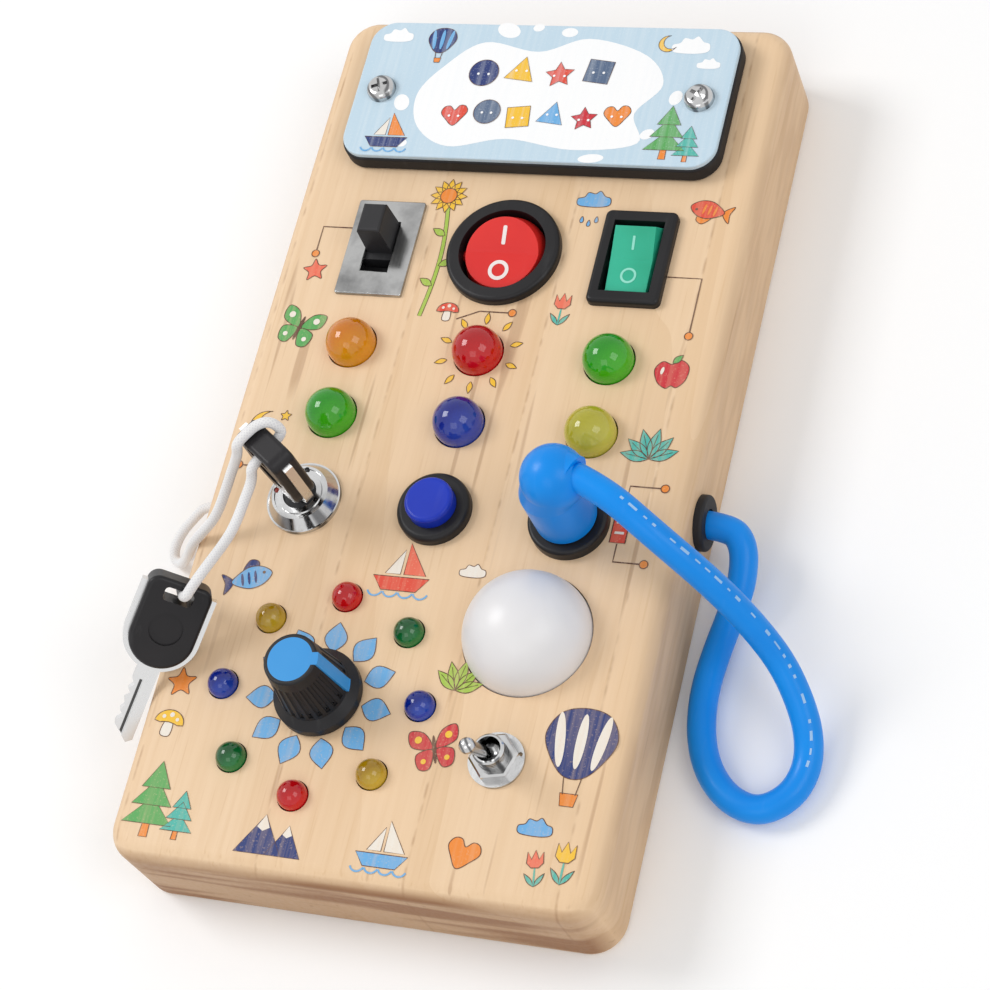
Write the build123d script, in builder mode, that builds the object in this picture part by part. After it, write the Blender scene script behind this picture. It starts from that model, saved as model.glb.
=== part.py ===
"""Wooden busy board: a hollow pine case with switches, lamps, a key lock, a plug on a cable and a knob.

Frame: millimetres, +Z out of the front, +Y towards the name plate, +X right.
The origin is the centre of the case's back, where the board rests.
"""
import os
from math import asin, cos, degrees, hypot, radians, sin, tan

from build123d import *

# ------------------------------------------------------------------ wooden case
case_w, case_l, case_h = 95.0, 185.0, 20.6
case_corner_r, case_front_r, case_back_r = 6.5, 3.6, 1.0
case_wall = 6.0                 # side walls
front_t = 3.6                   # panel that carries the controls
cavity_corner_r = 3.0
post = 8.0                      # wooden posts in the cavity's corners

# back cover, let into the case from behind
cover_t, cover_inset = 2.4, 0.2
cover_ledge, cover_gap = 3.0, 0.2
cover_screw_d, cover_screw_head_d, cover_screw_l = 2.9, 6.0, 11.0

# battery compartment: two AAA cells side by side behind the name plate
cell_d, cell_l, cell_nub_d, cell_nub_l = 10.5, 43.6, 3.8, 0.9
box_wall, box_floor = 1.2, 1.2
box_end_gap = 0.9               # between the box's lug and the end of the cavity
lug_w, lug_l, lug_t = 14.0, 3.0, 1.6
contact_space = 2.6             # at each end of a cell
cell_gap = 0.6
door_t, door_lip, door_gap = 1.6, 2.0, 0.2
door_screw_d, door_screw_head_d = 2.4, 4.6

# circuit board and its standoffs
pcb_t = 1.6
pcb_side_gap, pcb_end_gap = 0.5, 5.5          # to the corner posts, to the end of the cavity
pcb_to_switches = 14.4          # from the switches' row to the board's end
board_head_t, board_low = 1.2, 4 / 13         # screw heads under it, share of the spare height under it
standoff_d, standoff_screw_d, standoff_edge = 5.0, 2.4, 3.0

# name plate
plate_side_gap, plate_l = 8.05, 33.0
plate_base_t, plate_corner_r = 3.7, 5.5
panel_t, panel_inset = 1.0, 0.4
plate_screw_inset, plate_screw_drop = 6.0, 0.55
plate_screw_d, plate_screw_head_d, plate_screw_head_h = 2.6, 6.0, 1.9

# rows and columns of the controls
column_inset = 21.1             # from the case's side to the outer column
row_gaps = (4.0, 6.55, 4.85, 4.1, 5.1, 8.1)   # shares of the spare length before each row
ring_end_gap = 12.0             # from the ring of small lamps to the case's end
fit = 0.2                       # play of a body in its panel hole
run = 0.05                      # radial clearance of a shaft that turns
tiny = 0.3                      # gap between pieces that move past each other

# slide switch
slide_plate_w, slide_plate_l, slide_plate_t = 14.2, 21.5, 0.8
slide_slot_w, slide_slot_l = 5.8, 11.3
slide_knob_w, slide_knob_l, slide_knob_h = 5.3, 6.6, 8.0
slide_body_w, slide_body_l, slide_body_h = 12.0, 19.0, 9.6
slide_shoe_w, slide_shoe_l, slide_shoe_h = 7.4, 9.6, 3.0

# round rocker switch
round_bezel_d, round_bezel_h, round_barrel_d = 23.1, 2.1, 20.4
round_open_d, round_cap_d, round_face_d = 17.6, 16.9, 14.4
rocker_body_h = 12.0
rocker_pivot_drop, rocker_well = 1.8, 6.4     # below the front face
rocker_tilt = 11.5
rocker_valley, rocker_facet = 3.4, 5.0        # centre height over the pivot, slope of each half
rocker_axle_d = 2.2

# rectangular rocker switch
square_bezel_w, square_bezel_l, square_bezel_h = 14.6, 20.6, 1.9
square_body_w, square_body_l = 13.0, 18.8
square_open_w, square_open_l = 10.2, 15.7
square_cap_w, square_cap_l = 9.8, 14.9
square_face_w, square_face_l = 8.0, 13.1

# lamps
big_lamp_d, big_lamp_flange_d, big_lamp_rise = 9.8, 11.4, 1.0
small_lamp_d, small_lamp_flange_d, small_lamp_rise = 5.7, 6.8, 0.3
lamp_flange_t, lamp_lead_d, lamp_lead_pitch = 1.0, 0.6, 2.54
ring_inset, ring_r = 34.63, 19.7               # eight small lamps round the knob
dome_inset, dome_to_socket, dome_d, dome_sink = 23.95, 22.8, 24.2, 0.8
dome_wall, dome_flange_d, dome_flange_t = 1.4, 27.0, 1.2
dome_board_t = 1.4

# panel nuts, shared by the three round barrels
nut_af, nut_t = 14.0, 2.4
barrel_d = 11.8

# key lock
lock_offset = 0.56               # outside the column
lock_flange_d, lock_face_d, lock_rise = 14.7, 11.2, 3.0
rotor_d, rotor_ring_d, rotor_base_z = 6.6, 7.6, 3.4
lock_dots = (88.0, 178.0)       # index dots at the two ends of the key's turn
key_angle = 145.0               # width direction of the key in plan

# keys
key_plate_t, key_blade_w = 1.8, 4.2
grip_w, grip_l, grip_t, grip_top_r = 12.4, 17.5, 5.0, 2.2
key_rim = 1.0                   # plate showing past the grip
key_hole_v, key_hole_w, key_hole_l = 14.7, 5.6, 2.7
key_plate_past_hole = 0.9
key_tip_v = -16.0
key_play = 0.1
key_over_lock = 1.5             # gap between the lock's top and the key's head
cord_d, knot_d = 2.0, 3.4
cord_hole_y, cord_hole_z = -17.4, 11.0

# push button
button_flange_d, button_flange_h = 14.3, 2.4
button_cap_d, button_rise, button_travel = 9.4, 5.2, 2.2
button_floor_z, button_spring_d, button_wire = 9.0, 6.4, 0.7

# socket, plug and cable
socket_ring_d, socket_ring_h = 15.2, 2.6
plug_d, plug_neck_h, plug_head_r = 11.8, 11.0, 6.1
plug_pin_d, plug_pin_l, plug_travel = 6.0, 9.6, 13.0
cable_d = 5.3
grommet_y, grommet_z = -11.5, 10.3
grommet_flange_d, grommet_flange_t, grommet_barrel_d = 10.6, 1.7, 7.6

# toggle switch
toggle_inset, toggle_to_dome = 23.8, 24.5
toggle_bushing_d, toggle_rise = 5.9, 5.8
toggle_body_w, toggle_body_l, toggle_body_h = 8.0, 13.0, 9.0
toggle_nut_af, toggle_nut_t, toggle_washer_d, toggle_washer_t = 8.0, 2.2, 10.5, 0.6
toggle_bore_d, toggle_ball_d, toggle_pivot_drop = 4.7, 4.4, 3.0
toggle_lever_l, toggle_neck_d, toggle_tip_d, toggle_tilt = 14.4, 1.9, 3.0, 15.0

# knob and potentiometer
knob_skirt_d, knob_body_d, knob_top_d = 16.6, 13.4, 10.0
knob_lift, knob_skirt_h, knob_h = 0.5, 3.4, 16.2
knob_cap_d, knob_cap_t, knob_pointer_w, knob_pointer_angle = 8.5, 0.8, 2.4, 8.0
knob_hollow_d, knob_hollow_h = 12.4, 5.0
shaft_d, pot_bushing_d, pot_body_d, pot_body_h = 6.0, 7.4, 16.5, 7.6
pot_nut_af, pot_nut_t, pot_rise = 10.0, 2.0, 4.2

# terminals and wires
terminal_w, terminal_t, terminal_z = 3.0, 0.8, 4.5
wire_d, wire_z, wire_bend = 1.0, 3.3, 1.05

# ------------------------------------------------------------------ derived places
face_z = case_h
under_z = face_z - front_t
cover_top = cover_inset + cover_t
cavity_w, cavity_l = case_w - 2 * case_wall, case_l - 2 * case_wall
cover_w, cover_l = cavity_w + 2 * cover_ledge, cavity_l + 2 * cover_ledge
cover_r = cavity_corner_r + cover_ledge
post_at = [(sx * (cavity_w - post) / 2, sy * (cavity_l - post) / 2) for sx in (-1, 1) for sy in (-1, 1)]
column = case_w / 2 - column_inset
row_sizes = (plate_l, round_bezel_d, big_lamp_flange_d, big_lamp_flange_d, socket_ring_d,
             2 * ring_r + small_lamp_flange_d)
spare_l = case_l - ring_end_gap - sum(row_sizes)
row_ys, row_edge = [], case_l / 2
for gap, size in zip(row_gaps, row_sizes):
    row_edge -= gap * spare_l / sum(row_gaps)
    row_ys.append(row_edge - size / 2)
    row_edge -= size
plate_y, switch_row_y, lamp_row_1_y, lamp_row_2_y, socket_row_y, ring_y = row_ys
lamp_rows_y = (lamp_row_1_y, lamp_row_2_y)
lamp_mid_y = (lamp_row_1_y + lamp_row_2_y) / 2
ring_x = ring_inset - case_w / 2
dome_x, dome_y = case_w / 2 - dome_inset, socket_row_y - dome_to_socket
toggle_x, toggle_y = case_w / 2 - toggle_inset, dome_y - toggle_to_dome
plate_w = case_w - 2 * plate_side_gap
plate_screw_x, plate_screw_y = plate_w / 2 - plate_screw_inset, plate_y - plate_screw_drop
lock_x = -column - lock_offset
key_head_w = grip_w + 2 * key_rim
pcb_z = cover_top + board_head_t + board_low * (under_z - toggle_body_h - cover_top - board_head_t - pcb_t)
pcb_w = cavity_w - 2 * (post + pcb_side_gap)
pcb_y0, pcb_y1 = pcb_end_gap - cavity_l / 2, switch_row_y - pcb_to_switches
pcb_top = pcb_z + pcb_t
standoff_at = [(-column / 2, lamp_mid_y), (column / 2, lamp_mid_y), (-column - 3.6, socket_row_y - 12.4),
               (column / 2 - 3.7, socket_row_y - 11.4), (9.0, pcb_y0 + standoff_edge),
               (standoff_edge + 0.5 - pcb_w / 2, pcb_y0 + standoff_edge)]
slide_x = -column + 0.3
slide_y = switch_row_y - 0.3
lock_y = button_y = plug_y = socket_row_y
button_x, plug_x = -0.1, column + 0.1
panel_z = face_z + plate_base_t
box_in_l = cell_l + cell_nub_l + 2 * contact_space
box_in_w = 2 * cell_d + 3 * cell_gap
box_w, box_l = box_in_l + 2 * box_wall, box_in_w + 2 * box_wall
box_y = cavity_l / 2 - box_end_gap - lug_l - box_l / 2
cell_z = cover_inset + door_t + 0.4 + cell_d / 2
box_top = cell_z + cell_d / 2 + 0.3 + box_floor
big_lamps = {
    "big_lamp_orange": [(-column, lamp_rows_y[0])],
    "big_lamp_red": [(0, lamp_rows_y[0])],
    "big_lamps_green": [(column, lamp_rows_y[0]), (-column, lamp_rows_y[1])],
    "big_lamp_blue": [(0, lamp_rows_y[1])],
    "big_lamp_yellow": [(column, lamp_rows_y[1])],
}
ring_angles = {
    "small_lamps_red": (90, -90),
    "small_lamps_green": (45, -135),
    "small_lamps_blue": (0, 180),
    "small_lamps_gold": (-45, 135),
}
small_lamps = {
    name: [(ring_x + ring_r * cos(radians(a)), ring_y + ring_r * sin(radians(a))) for a in angles]
    for name, angles in ring_angles.items()
}
big_at = [xy for places in big_lamps.values() for xy in places]
small_at = [xy for places in small_lamps.values() for xy in places]
pieces = {}


def corner_radii(points, cap=None):
    """Arc radius at each inner point: 0.45 of the shorter run over tan(half the turn)."""
    radii = []
    for a, b, c in zip(points, points[1:], points[2:]):
        one, two = Vector(*b) - Vector(*a), Vector(*c) - Vector(*b)
        turn = radians(one.get_angle(two))
        radius = 0.45 * min(one.length, two.length) / tan(turn / 2)
        radii.append(min(radius, cap) if cap else radius)
    return radii


def tube(points, diameter, cap=None):
    """A round tube along straight runs joined by tangent arcs."""
    with BuildPart() as made:
        with BuildLine() as route:
            FilletPolyline(*points, radius=corner_radii(points, cap))
        with BuildSketch(Plane(origin=route.line @ 0, z_dir=route.line % 0)):
            Circle(diameter / 2)
        sweep()
    return made, sum(edge.length for edge in route.line.edges())


def wedge_over(centre, half_width, half_length):
    """The space over a rocker's two sloping halves, taken from the untilted cap."""
    x, y, z = centre
    rise = half_length * tan(radians(rocker_facet))
    with BuildPart() as made:
        with BuildSketch(Plane.YZ.offset(x - half_width)):
            with BuildLine():
                Polyline((y - half_length, z + rocker_valley + rise), (y, z + rocker_valley),
                         (y + half_length, z + rocker_valley + rise), (y + half_length, z + 12),
                         (y - half_length, z + 12), close=True)
            make_face()
        extrude(amount=2 * half_width)
    return made.part


def knob_shape(grow):
    """The knob as a turned solid, its outline grown by a distance."""
    with BuildPart() as made:
        with BuildSketch(Plane(origin=(ring_x, ring_y, 0), x_dir=(1, 0, 0), z_dir=(0, -1, 0))):
            with BuildLine():
                Polyline((0, knob_base_z), (knob_skirt_d / 2 + grow, knob_base_z),
                         (knob_skirt_d / 2 + grow, knob_base_z + 0.55 * knob_skirt_h),
                         (knob_body_d / 2 + grow, skirt_z + grow),
                         (knob_top_d / 2 + grow, knob_top_z), (0, knob_top_z), close=True)
            make_face()
        revolve(axis=Axis((ring_x, ring_y, 0), (0, 0, 1)))
    return made.part


standing = (Align.CENTER, Align.CENTER, Align.MIN)


# ------------------------------------------------------------------ case
with BuildPart() as wooden_case:
    with BuildSketch():
        RectangleRounded(case_w, case_l, case_corner_r)
    extrude(amount=case_h)
    fillet(edges().group_by(Axis.Z)[-1], case_front_r)
    fillet(edges().group_by(Axis.Z)[0], case_back_r)
    with BuildSketch():
        RectangleRounded(cover_w + 2 * cover_gap, cover_l + 2 * cover_gap, cover_r)
    extrude(amount=cover_top, mode=Mode.SUBTRACT)
    with BuildSketch(Plane.XY.offset(cover_top)):
        RectangleRounded(cavity_w, cavity_l, cavity_corner_r)
        with Locations(*post_at):
            Rectangle(post, post, mode=Mode.SUBTRACT)
    extrude(amount=under_z - cover_top, mode=Mode.SUBTRACT)
    # openings for the controls
    with BuildSketch(Plane.XY.offset(under_z)):
        with Locations((slide_x, slide_y)):
            Rectangle(slide_body_w + 2 * fit, slide_body_l + 2 * fit)
        with Locations((0, switch_row_y)):
            Circle(round_barrel_d / 2 + fit)
        with Locations((column, switch_row_y)):
            Rectangle(square_body_w + 2 * fit, square_body_l + 2 * fit)
        with Locations(*big_at):
            Circle(big_lamp_d / 2 + fit)
        with Locations(*small_at):
            Circle(small_lamp_d / 2 + fit)
        with Locations((lock_x, lock_y), (button_x, button_y), (plug_x, plug_y)):
            Circle(barrel_d / 2 + fit)
        with Locations((dome_x, dome_y)):
            Circle(dome_d / 2 + fit)
        with Locations((toggle_x, toggle_y)):
            Circle(toggle_bushing_d / 2 + fit)
        with Locations((ring_x, ring_y)):
            Circle(pot_bushing_d / 2 + fit)
        with Locations((-plate_screw_x, plate_screw_y), (plate_screw_x, plate_screw_y)):
            Circle(plate_screw_d / 2)
    extrude(amount=front_t, mode=Mode.SUBTRACT)
    # pilot holes for the cover screws
    with BuildSketch(Plane.XY.offset(cover_top)):
        with Locations(*post_at):
            Circle(cover_screw_d / 2)
    extrude(amount=cover_screw_l, mode=Mode.SUBTRACT)
    # cable hole in the right wall, cord hole in the left wall
    with BuildSketch(Plane.YZ.offset(case_w / 2 - case_wall)):
        with Locations((grommet_y, grommet_z)):
            Circle(grommet_barrel_d / 2)
    extrude(amount=case_wall, mode=Mode.SUBTRACT)
    with BuildSketch(Plane.YZ.offset(-case_w / 2)):
        with Locations((cord_hole_y, cord_hole_z)):
            Circle(cord_d / 2 + fit)
    extrude(amount=case_wall, mode=Mode.SUBTRACT)
pieces["wooden_case"] = wooden_case

with BuildPart() as back_cover:
    with BuildSketch(Plane.XY.offset(cover_inset)):
        RectangleRounded(cover_w, cover_l, cover_r - cover_gap)
        with Locations((0, box_y)):
            Rectangle(box_w + 2 * cover_gap, box_l + 2 * cover_gap, mode=Mode.SUBTRACT)
    extrude(amount=cover_t)
    with Locations(*[(x, y, cover_inset) for x, y in post_at]):
        with Locations(Rotation(180, 0, 0)):
            CounterSinkHole(cover_screw_d / 2 + fit, cover_screw_head_d / 2 + fit, cover_t + 1)
pieces["back_cover"] = back_cover

with BuildPart() as back_cover_screws:
    for x, y in post_at:
        with Locations((x, y, cover_inset + 0.1)):
            Cone(cover_screw_head_d / 2, cover_screw_d / 2, (cover_screw_head_d - cover_screw_d) / 2,
                 align=standing)
        with BuildSketch(Plane.XY.offset(cover_inset + 0.1)):
            with Locations((x, y)):
                Circle(cover_screw_d / 2)
        extrude(amount=cover_screw_l)
    with BuildSketch(Plane.XY.offset(cover_inset + 0.1)):
        with Locations(*post_at):
            Rectangle(3.6, 0.8)
            Rectangle(0.8, 3.6)
    extrude(amount=0.9, mode=Mode.SUBTRACT)
pieces["back_cover_screws"] = back_cover_screws

# ------------------------------------------------------------------ battery compartment
box_screw_x = box_w / 2 - box_wall - contact_space / 2
with BuildPart() as battery_box:
    with BuildSketch(Plane.XY.offset(cover_inset)):
        with Locations((0, box_y)):
            Rectangle(box_w, box_l)
    extrude(amount=box_top - cover_inset)
    with BuildSketch(Plane.XY.offset(cover_inset)):
        with Locations((0, box_y)):
            Rectangle(box_in_l, box_in_w)
    extrude(amount=box_top - box_floor - cover_inset, mode=Mode.SUBTRACT)
    # ledge blocks at both ends, which the door sits on
    with BuildSketch(Plane.XY.offset(cover_inset + door_t)):
        with Locations((-box_screw_x, box_y), (box_screw_x, box_y)):
            Rectangle(contact_space, door_screw_d + 2.4)
    extrude(amount=box_top - box_floor - cover_inset - door_t)
    with BuildSketch(Plane.XY.offset(cover_inset + door_t)):
        with Locations((box_screw_x, box_y)):
            Circle(door_screw_d / 2 - 0.3)
    extrude(amount=6, mode=Mode.SUBTRACT)
    # lugs that hold the box to the back of the cover
    with BuildSketch(Plane.XY.offset(cover_top)):
        with Locations((0, box_y - (box_l + lug_l) / 2), (0, box_y + (box_l + lug_l) / 2)):
            Rectangle(lug_w, lug_l)
    extrude(amount=lug_t)
pieces["battery_box"] = battery_box

with BuildPart() as battery_door:
    with BuildSketch(Plane.XY.offset(cover_inset)):
        with Locations((0, box_y)):
            RectangleRounded(box_in_l - 2 * door_gap, box_in_w - 2 * door_gap, 0.8)
    extrude(amount=door_t)
    with BuildSketch(Plane.XY.offset(cover_inset)):
        with Locations((-box_in_l / 4, box_y)):
            with GridLocations(0, 2.4, 1, 4):
                SlotOverall(9, 1.0)
    extrude(amount=0.4, mode=Mode.SUBTRACT)
    with BuildSketch(Plane.XY.offset(cover_inset)):
        with Locations((box_screw_x, box_y)):
            Circle(door_screw_d / 2 - 0.2)
    extrude(amount=door_t, mode=Mode.SUBTRACT)
pieces["battery_door"] = battery_door

with BuildPart() as battery_door_screw:
    with BuildSketch(Plane.XY.offset(cover_inset)):
        with Locations((box_screw_x, box_y)):
            Circle(door_screw_d / 2 - 0.3)
    extrude(amount=7)
    with BuildSketch(Plane.XY.offset(cover_inset)):
        with Locations((box_screw_x, box_y)):
            Rectangle(1.5, 0.45)
    extrude(amount=0.6, mode=Mode.SUBTRACT)
pieces["battery_door_screw"] = battery_door_screw

cell_ys = (box_y - (cell_d + cell_gap) / 2, box_y + (cell_d + cell_gap) / 2)
with BuildPart() as batteries:
    for y, way in zip(cell_ys, (1, -1)):
        with BuildSketch(Plane.YZ.offset(-way * cell_l / 2 - way * cell_nub_l / 2)):
            with Locations((y, cell_z)):
                Circle(cell_d / 2)
        extrude(amount=way * cell_l)
        with BuildSketch(Plane.YZ.offset(way * (cell_l - cell_nub_l) / 2)):
            with Locations((y, cell_z)):
                Circle(cell_nub_d / 2)
        extrude(amount=way * cell_nub_l)
pieces["batteries"] = batteries

end_x = box_in_l / 2
with BuildPart() as battery_contacts:
    # plates against the end walls, with a stack of coils or a dimple against each cell
    for y, way in zip(cell_ys, (1, -1)):
        for side in (-1, 1):
            with BuildSketch(Plane.YZ.offset(side * end_x)):
                with Locations((y + (1 if y > box_y else -1) * 0.7, cell_z)):
                    Rectangle(cell_d - 3.6, cell_d - 2.4)
            extrude(amount=-side * 0.4)
            if side == way:
                with BuildSketch(Plane.YZ.offset(side * (end_x - 0.4))):
                    with Locations((y, cell_z)):
                        Circle(cell_nub_d / 2)
                extrude(amount=-side * (contact_space - 0.4))
            else:
                with BuildSketch(Plane.YZ.offset(side * (end_x - 0.4))) as coil:
                    with Locations((y, cell_z)):
                        Circle(3.2)
                with BuildSketch(Plane.YZ.offset(side * (end_x - contact_space))):
                    with Locations((y, cell_z)):
                        Circle(2.2)
                loft()
                with BuildSketch(Plane.YZ.offset(side * (end_x - contact_space))):
                    with Locations((y, cell_z)):
                        Circle(1.5)
                extrude(amount=side * (contact_space - 0.8), mode=Mode.SUBTRACT)
pieces["battery_contacts"] = battery_contacts

# ------------------------------------------------------------------ circuit board
barrels_at = [(lock_x, lock_y), (button_x, button_y), (plug_x, plug_y)]
with BuildPart() as control_board:
    with BuildSketch(Plane.XY.offset(pcb_z)):
        with Locations((0, (pcb_y0 + pcb_y1) / 2)):
            RectangleRounded(pcb_w, pcb_y1 - pcb_y0, 2)
        with Locations(*barrels_at):
            Circle(barrel_d / 2 + 0.8, mode=Mode.SUBTRACT)
        with Locations(*standoff_at):
            Circle(standoff_screw_d / 2, mode=Mode.SUBTRACT)
    extrude(amount=pcb_t)
    # chip and resistors on the front side
    with BuildSketch(Plane.XY.offset(pcb_top)):
        with Locations((0, socket_row_y - 14.4)):
            Rectangle(10, 4)
        with Locations((0.4 - column, lamp_mid_y + 0.45), (column - 0.4, lamp_mid_y + 0.45),
                       (14, lamp_row_2_y - 5.8), (-14, lamp_row_2_y - 5.8)):
            Rectangle(3.2, 1.6)
    extrude(amount=1.2)
pieces["control_board"] = control_board

with BuildPart() as board_standoffs:
    with BuildSketch(Plane.XY.offset(pcb_top)):
        with Locations(*standoff_at):
            Circle(standoff_d / 2)
            Circle(standoff_screw_d / 2, mode=Mode.SUBTRACT)
    extrude(amount=under_z - pcb_top)
pieces["board_standoffs"] = board_standoffs

with BuildPart() as board_screws:
    with BuildSketch(Plane.XY.offset(pcb_z - board_head_t)):
        with Locations(*standoff_at):
            Circle(standoff_screw_d)
    extrude(amount=board_head_t)
    with BuildSketch(Plane.XY.offset(pcb_z)):
        with Locations(*standoff_at):
            Circle(standoff_screw_d / 2)
    extrude(amount=7)
    with BuildSketch(Plane.XY.offset(pcb_z - board_head_t)):
        with Locations(*standoff_at):
            Rectangle(2.6, 0.5)
            Rectangle(0.5, 2.6)
    extrude(amount=0.6, mode=Mode.SUBTRACT)
pieces["board_screws"] = board_screws

# ------------------------------------------------------------------ name plate
with BuildPart() as sign_base:
    with BuildSketch(Plane.XY.offset(face_z)):
        with Locations((0, plate_y)):
            RectangleRounded(plate_w, plate_l, plate_corner_r)
    extrude(amount=plate_base_t)
    fillet(edges().group_by(Axis.Z)[-1], 0.5)
    fillet(edges().group_by(Axis.Z)[0], 0.8)
    with BuildSketch(Plane.XY.offset(face_z)):
        with Locations((-plate_screw_x, plate_screw_y), (plate_screw_x, plate_screw_y)):
            Circle(plate_screw_d / 2 + run)
    extrude(amount=plate_base_t, mode=Mode.SUBTRACT)
pieces["sign_base"] = sign_base

with BuildPart() as sign_panel:
    with BuildSketch(Plane.XY.offset(panel_z)):
        with Locations((0, plate_y)):
            RectangleRounded(plate_w - 2 * panel_inset, plate_l - 2 * panel_inset,
                             plate_corner_r - panel_inset)
        with Locations((-plate_screw_x, plate_screw_y), (plate_screw_x, plate_screw_y)):
            Circle(plate_screw_d / 2 + run, mode=Mode.SUBTRACT)
    extrude(amount=panel_t)
    fillet(edges().group_by(Axis.Z)[-1].sort_by(SortBy.LENGTH)[-8:], 0.3)
pieces["sign_panel"] = sign_panel

screw_top = panel_z + panel_t
with BuildPart() as sign_screws:
    for side in (-1, 1):
        at = (side * plate_screw_x, plate_screw_y)
        with BuildSketch(Plane.XY.offset(screw_top)):
            with Locations(at):
                Circle(plate_screw_head_d / 2)
        extrude(amount=plate_screw_head_h)
        with BuildSketch(Plane.XY.offset(under_z - 1.4)):
            with Locations(at):
                Circle(plate_screw_d / 2)
        extrude(amount=screw_top - under_z + 1.4)
    fillet(edges().group_by(Axis.Z)[-1], plate_screw_head_h * 0.75)
    for side, twist in ((-1, 20), (1, 65)):
        with BuildSketch(Plane.XY.offset(screw_top + plate_screw_head_h)):
            with Locations((side * plate_screw_x, plate_screw_y)):
                Rectangle(3.4, 0.8, rotation=twist)
                Rectangle(0.8, 3.4, rotation=twist)
        extrude(amount=-1.0, mode=Mode.SUBTRACT)
pieces["sign_screws"] = sign_screws

# ------------------------------------------------------------------ slide switch
slide_top = face_z + slide_plate_t
slide_travel = slide_slot_l - slide_knob_l - 2 * 0.1
knob_rest_y = slide_y + slide_travel / 2 + 0.2
slot_y = slide_y + 0.2
with BuildPart() as slide_switch_plate:
    with BuildSketch(Plane.XY.offset(face_z)):
        with Locations((slide_x, slide_y)):
            RectangleRounded(slide_plate_w, slide_plate_l, 0.5)
        with Locations((slide_x, slot_y)):
            Rectangle(slide_slot_w, slide_slot_l, mode=Mode.SUBTRACT)
    extrude(amount=slide_plate_t)
    fillet(edges().group_by(Axis.Z)[-1].sort_by(SortBy.LENGTH)[-8:], 0.25)
pieces["slide_switch_plate"] = slide_switch_plate

with BuildPart() as slide_switch_body:
    with BuildSketch(Plane.XY.offset(face_z - slide_body_h)):
        with Locations((slide_x, slide_y)):
            Rectangle(slide_body_w, slide_body_l)
    extrude(amount=slide_body_h)
    with BuildSketch(Plane.XY.offset(face_z - slide_shoe_h - tiny)):
        with Locations((slide_x, slot_y)):
            Rectangle(slide_shoe_w + 2 * tiny, slide_shoe_l + slide_travel + 2 * tiny)
    extrude(amount=slide_shoe_h + tiny, mode=Mode.SUBTRACT)
pieces["slide_switch_body"] = slide_switch_body

with BuildPart() as slide_switch_knob:
    with BuildSketch(Plane.XY.offset(face_z - slide_shoe_h)):
        with Locations((slide_x, knob_rest_y)):
            Rectangle(slide_shoe_w, slide_shoe_l)
    extrude(amount=slide_shoe_h - 0.1)
    with BuildSketch(Plane.XY.offset(face_z - 0.1)):
        with Locations((slide_x, knob_rest_y)):
            Rectangle(slide_knob_w, slide_knob_l)
    extrude(amount=slide_plate_t + 0.1)
    with BuildSketch(Plane.XY.offset(slide_top)):
        with Locations((slide_x, knob_rest_y)):
            Rectangle(slide_knob_w, slide_knob_l)
    with BuildSketch(Plane.XY.offset(slide_top + slide_knob_h - slide_plate_t)):
        with Locations((slide_x, knob_rest_y)):
            Rectangle(slide_knob_w - 0.5, slide_knob_l - 0.3)
    loft()
    fillet(edges().group_by(Axis.Z)[-1], 0.5)
pieces["slide_switch_knob"] = slide_switch_knob


# ------------------------------------------------------------------ round rocker
pivot_z = face_z - rocker_pivot_drop
body_base_z = face_z - rocker_body_h
axle_l = round_barrel_d - 0.8
with BuildPart() as round_rocker_housing:
    with BuildSketch(Plane.XY.offset(face_z)):
        with Locations((0, switch_row_y)):
            Circle(round_bezel_d / 2)
    extrude(amount=round_bezel_h)
    fillet(edges().group_by(Axis.Z)[-1], 0.9)
    with BuildSketch(Plane.XY.offset(body_base_z)):
        with Locations((0, switch_row_y)):
            Circle(round_barrel_d / 2)
    extrude(amount=rocker_body_h)
    with BuildSketch(Plane.XY.offset(face_z - rocker_well)):
        with Locations((0, switch_row_y)):
            Circle(round_open_d / 2)
    extrude(amount=rocker_well + round_bezel_h, mode=Mode.SUBTRACT)
    with BuildSketch(Plane.YZ.offset(-axle_l / 2 - 0.1)):
        with Locations((switch_row_y, pivot_z)):
            Circle(rocker_axle_d / 2 + run)
    extrude(amount=axle_l + 0.2, mode=Mode.SUBTRACT)
pieces["round_rocker_housing"] = round_rocker_housing

with BuildPart() as round_cap:
    with BuildSketch(Plane.XY.offset(pivot_z - 2.0)):
        with Locations((0, switch_row_y)):
            Circle(round_cap_d / 2)
    extrude(amount=2.6)
    with Locations((0, switch_row_y, pivot_z + 0.6)):
        Cone(round_cap_d / 2, round_face_d / 2, 3.6, align=standing)
    add(wedge_over((0, switch_row_y, pivot_z), round_cap_d, round_cap_d), mode=Mode.SUBTRACT)
    with BuildSketch(Plane.YZ.offset(-axle_l / 2)):
        with Locations((switch_row_y, pivot_z)):
            Circle(rocker_axle_d / 2)
    extrude(amount=axle_l)
with BuildPart() as round_rocker_cap:
    add(round_cap.part.rotate(Axis((0, switch_row_y, pivot_z), (1, 0, 0)), rocker_tilt))
pieces["round_rocker_cap"] = round_rocker_cap

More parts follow.
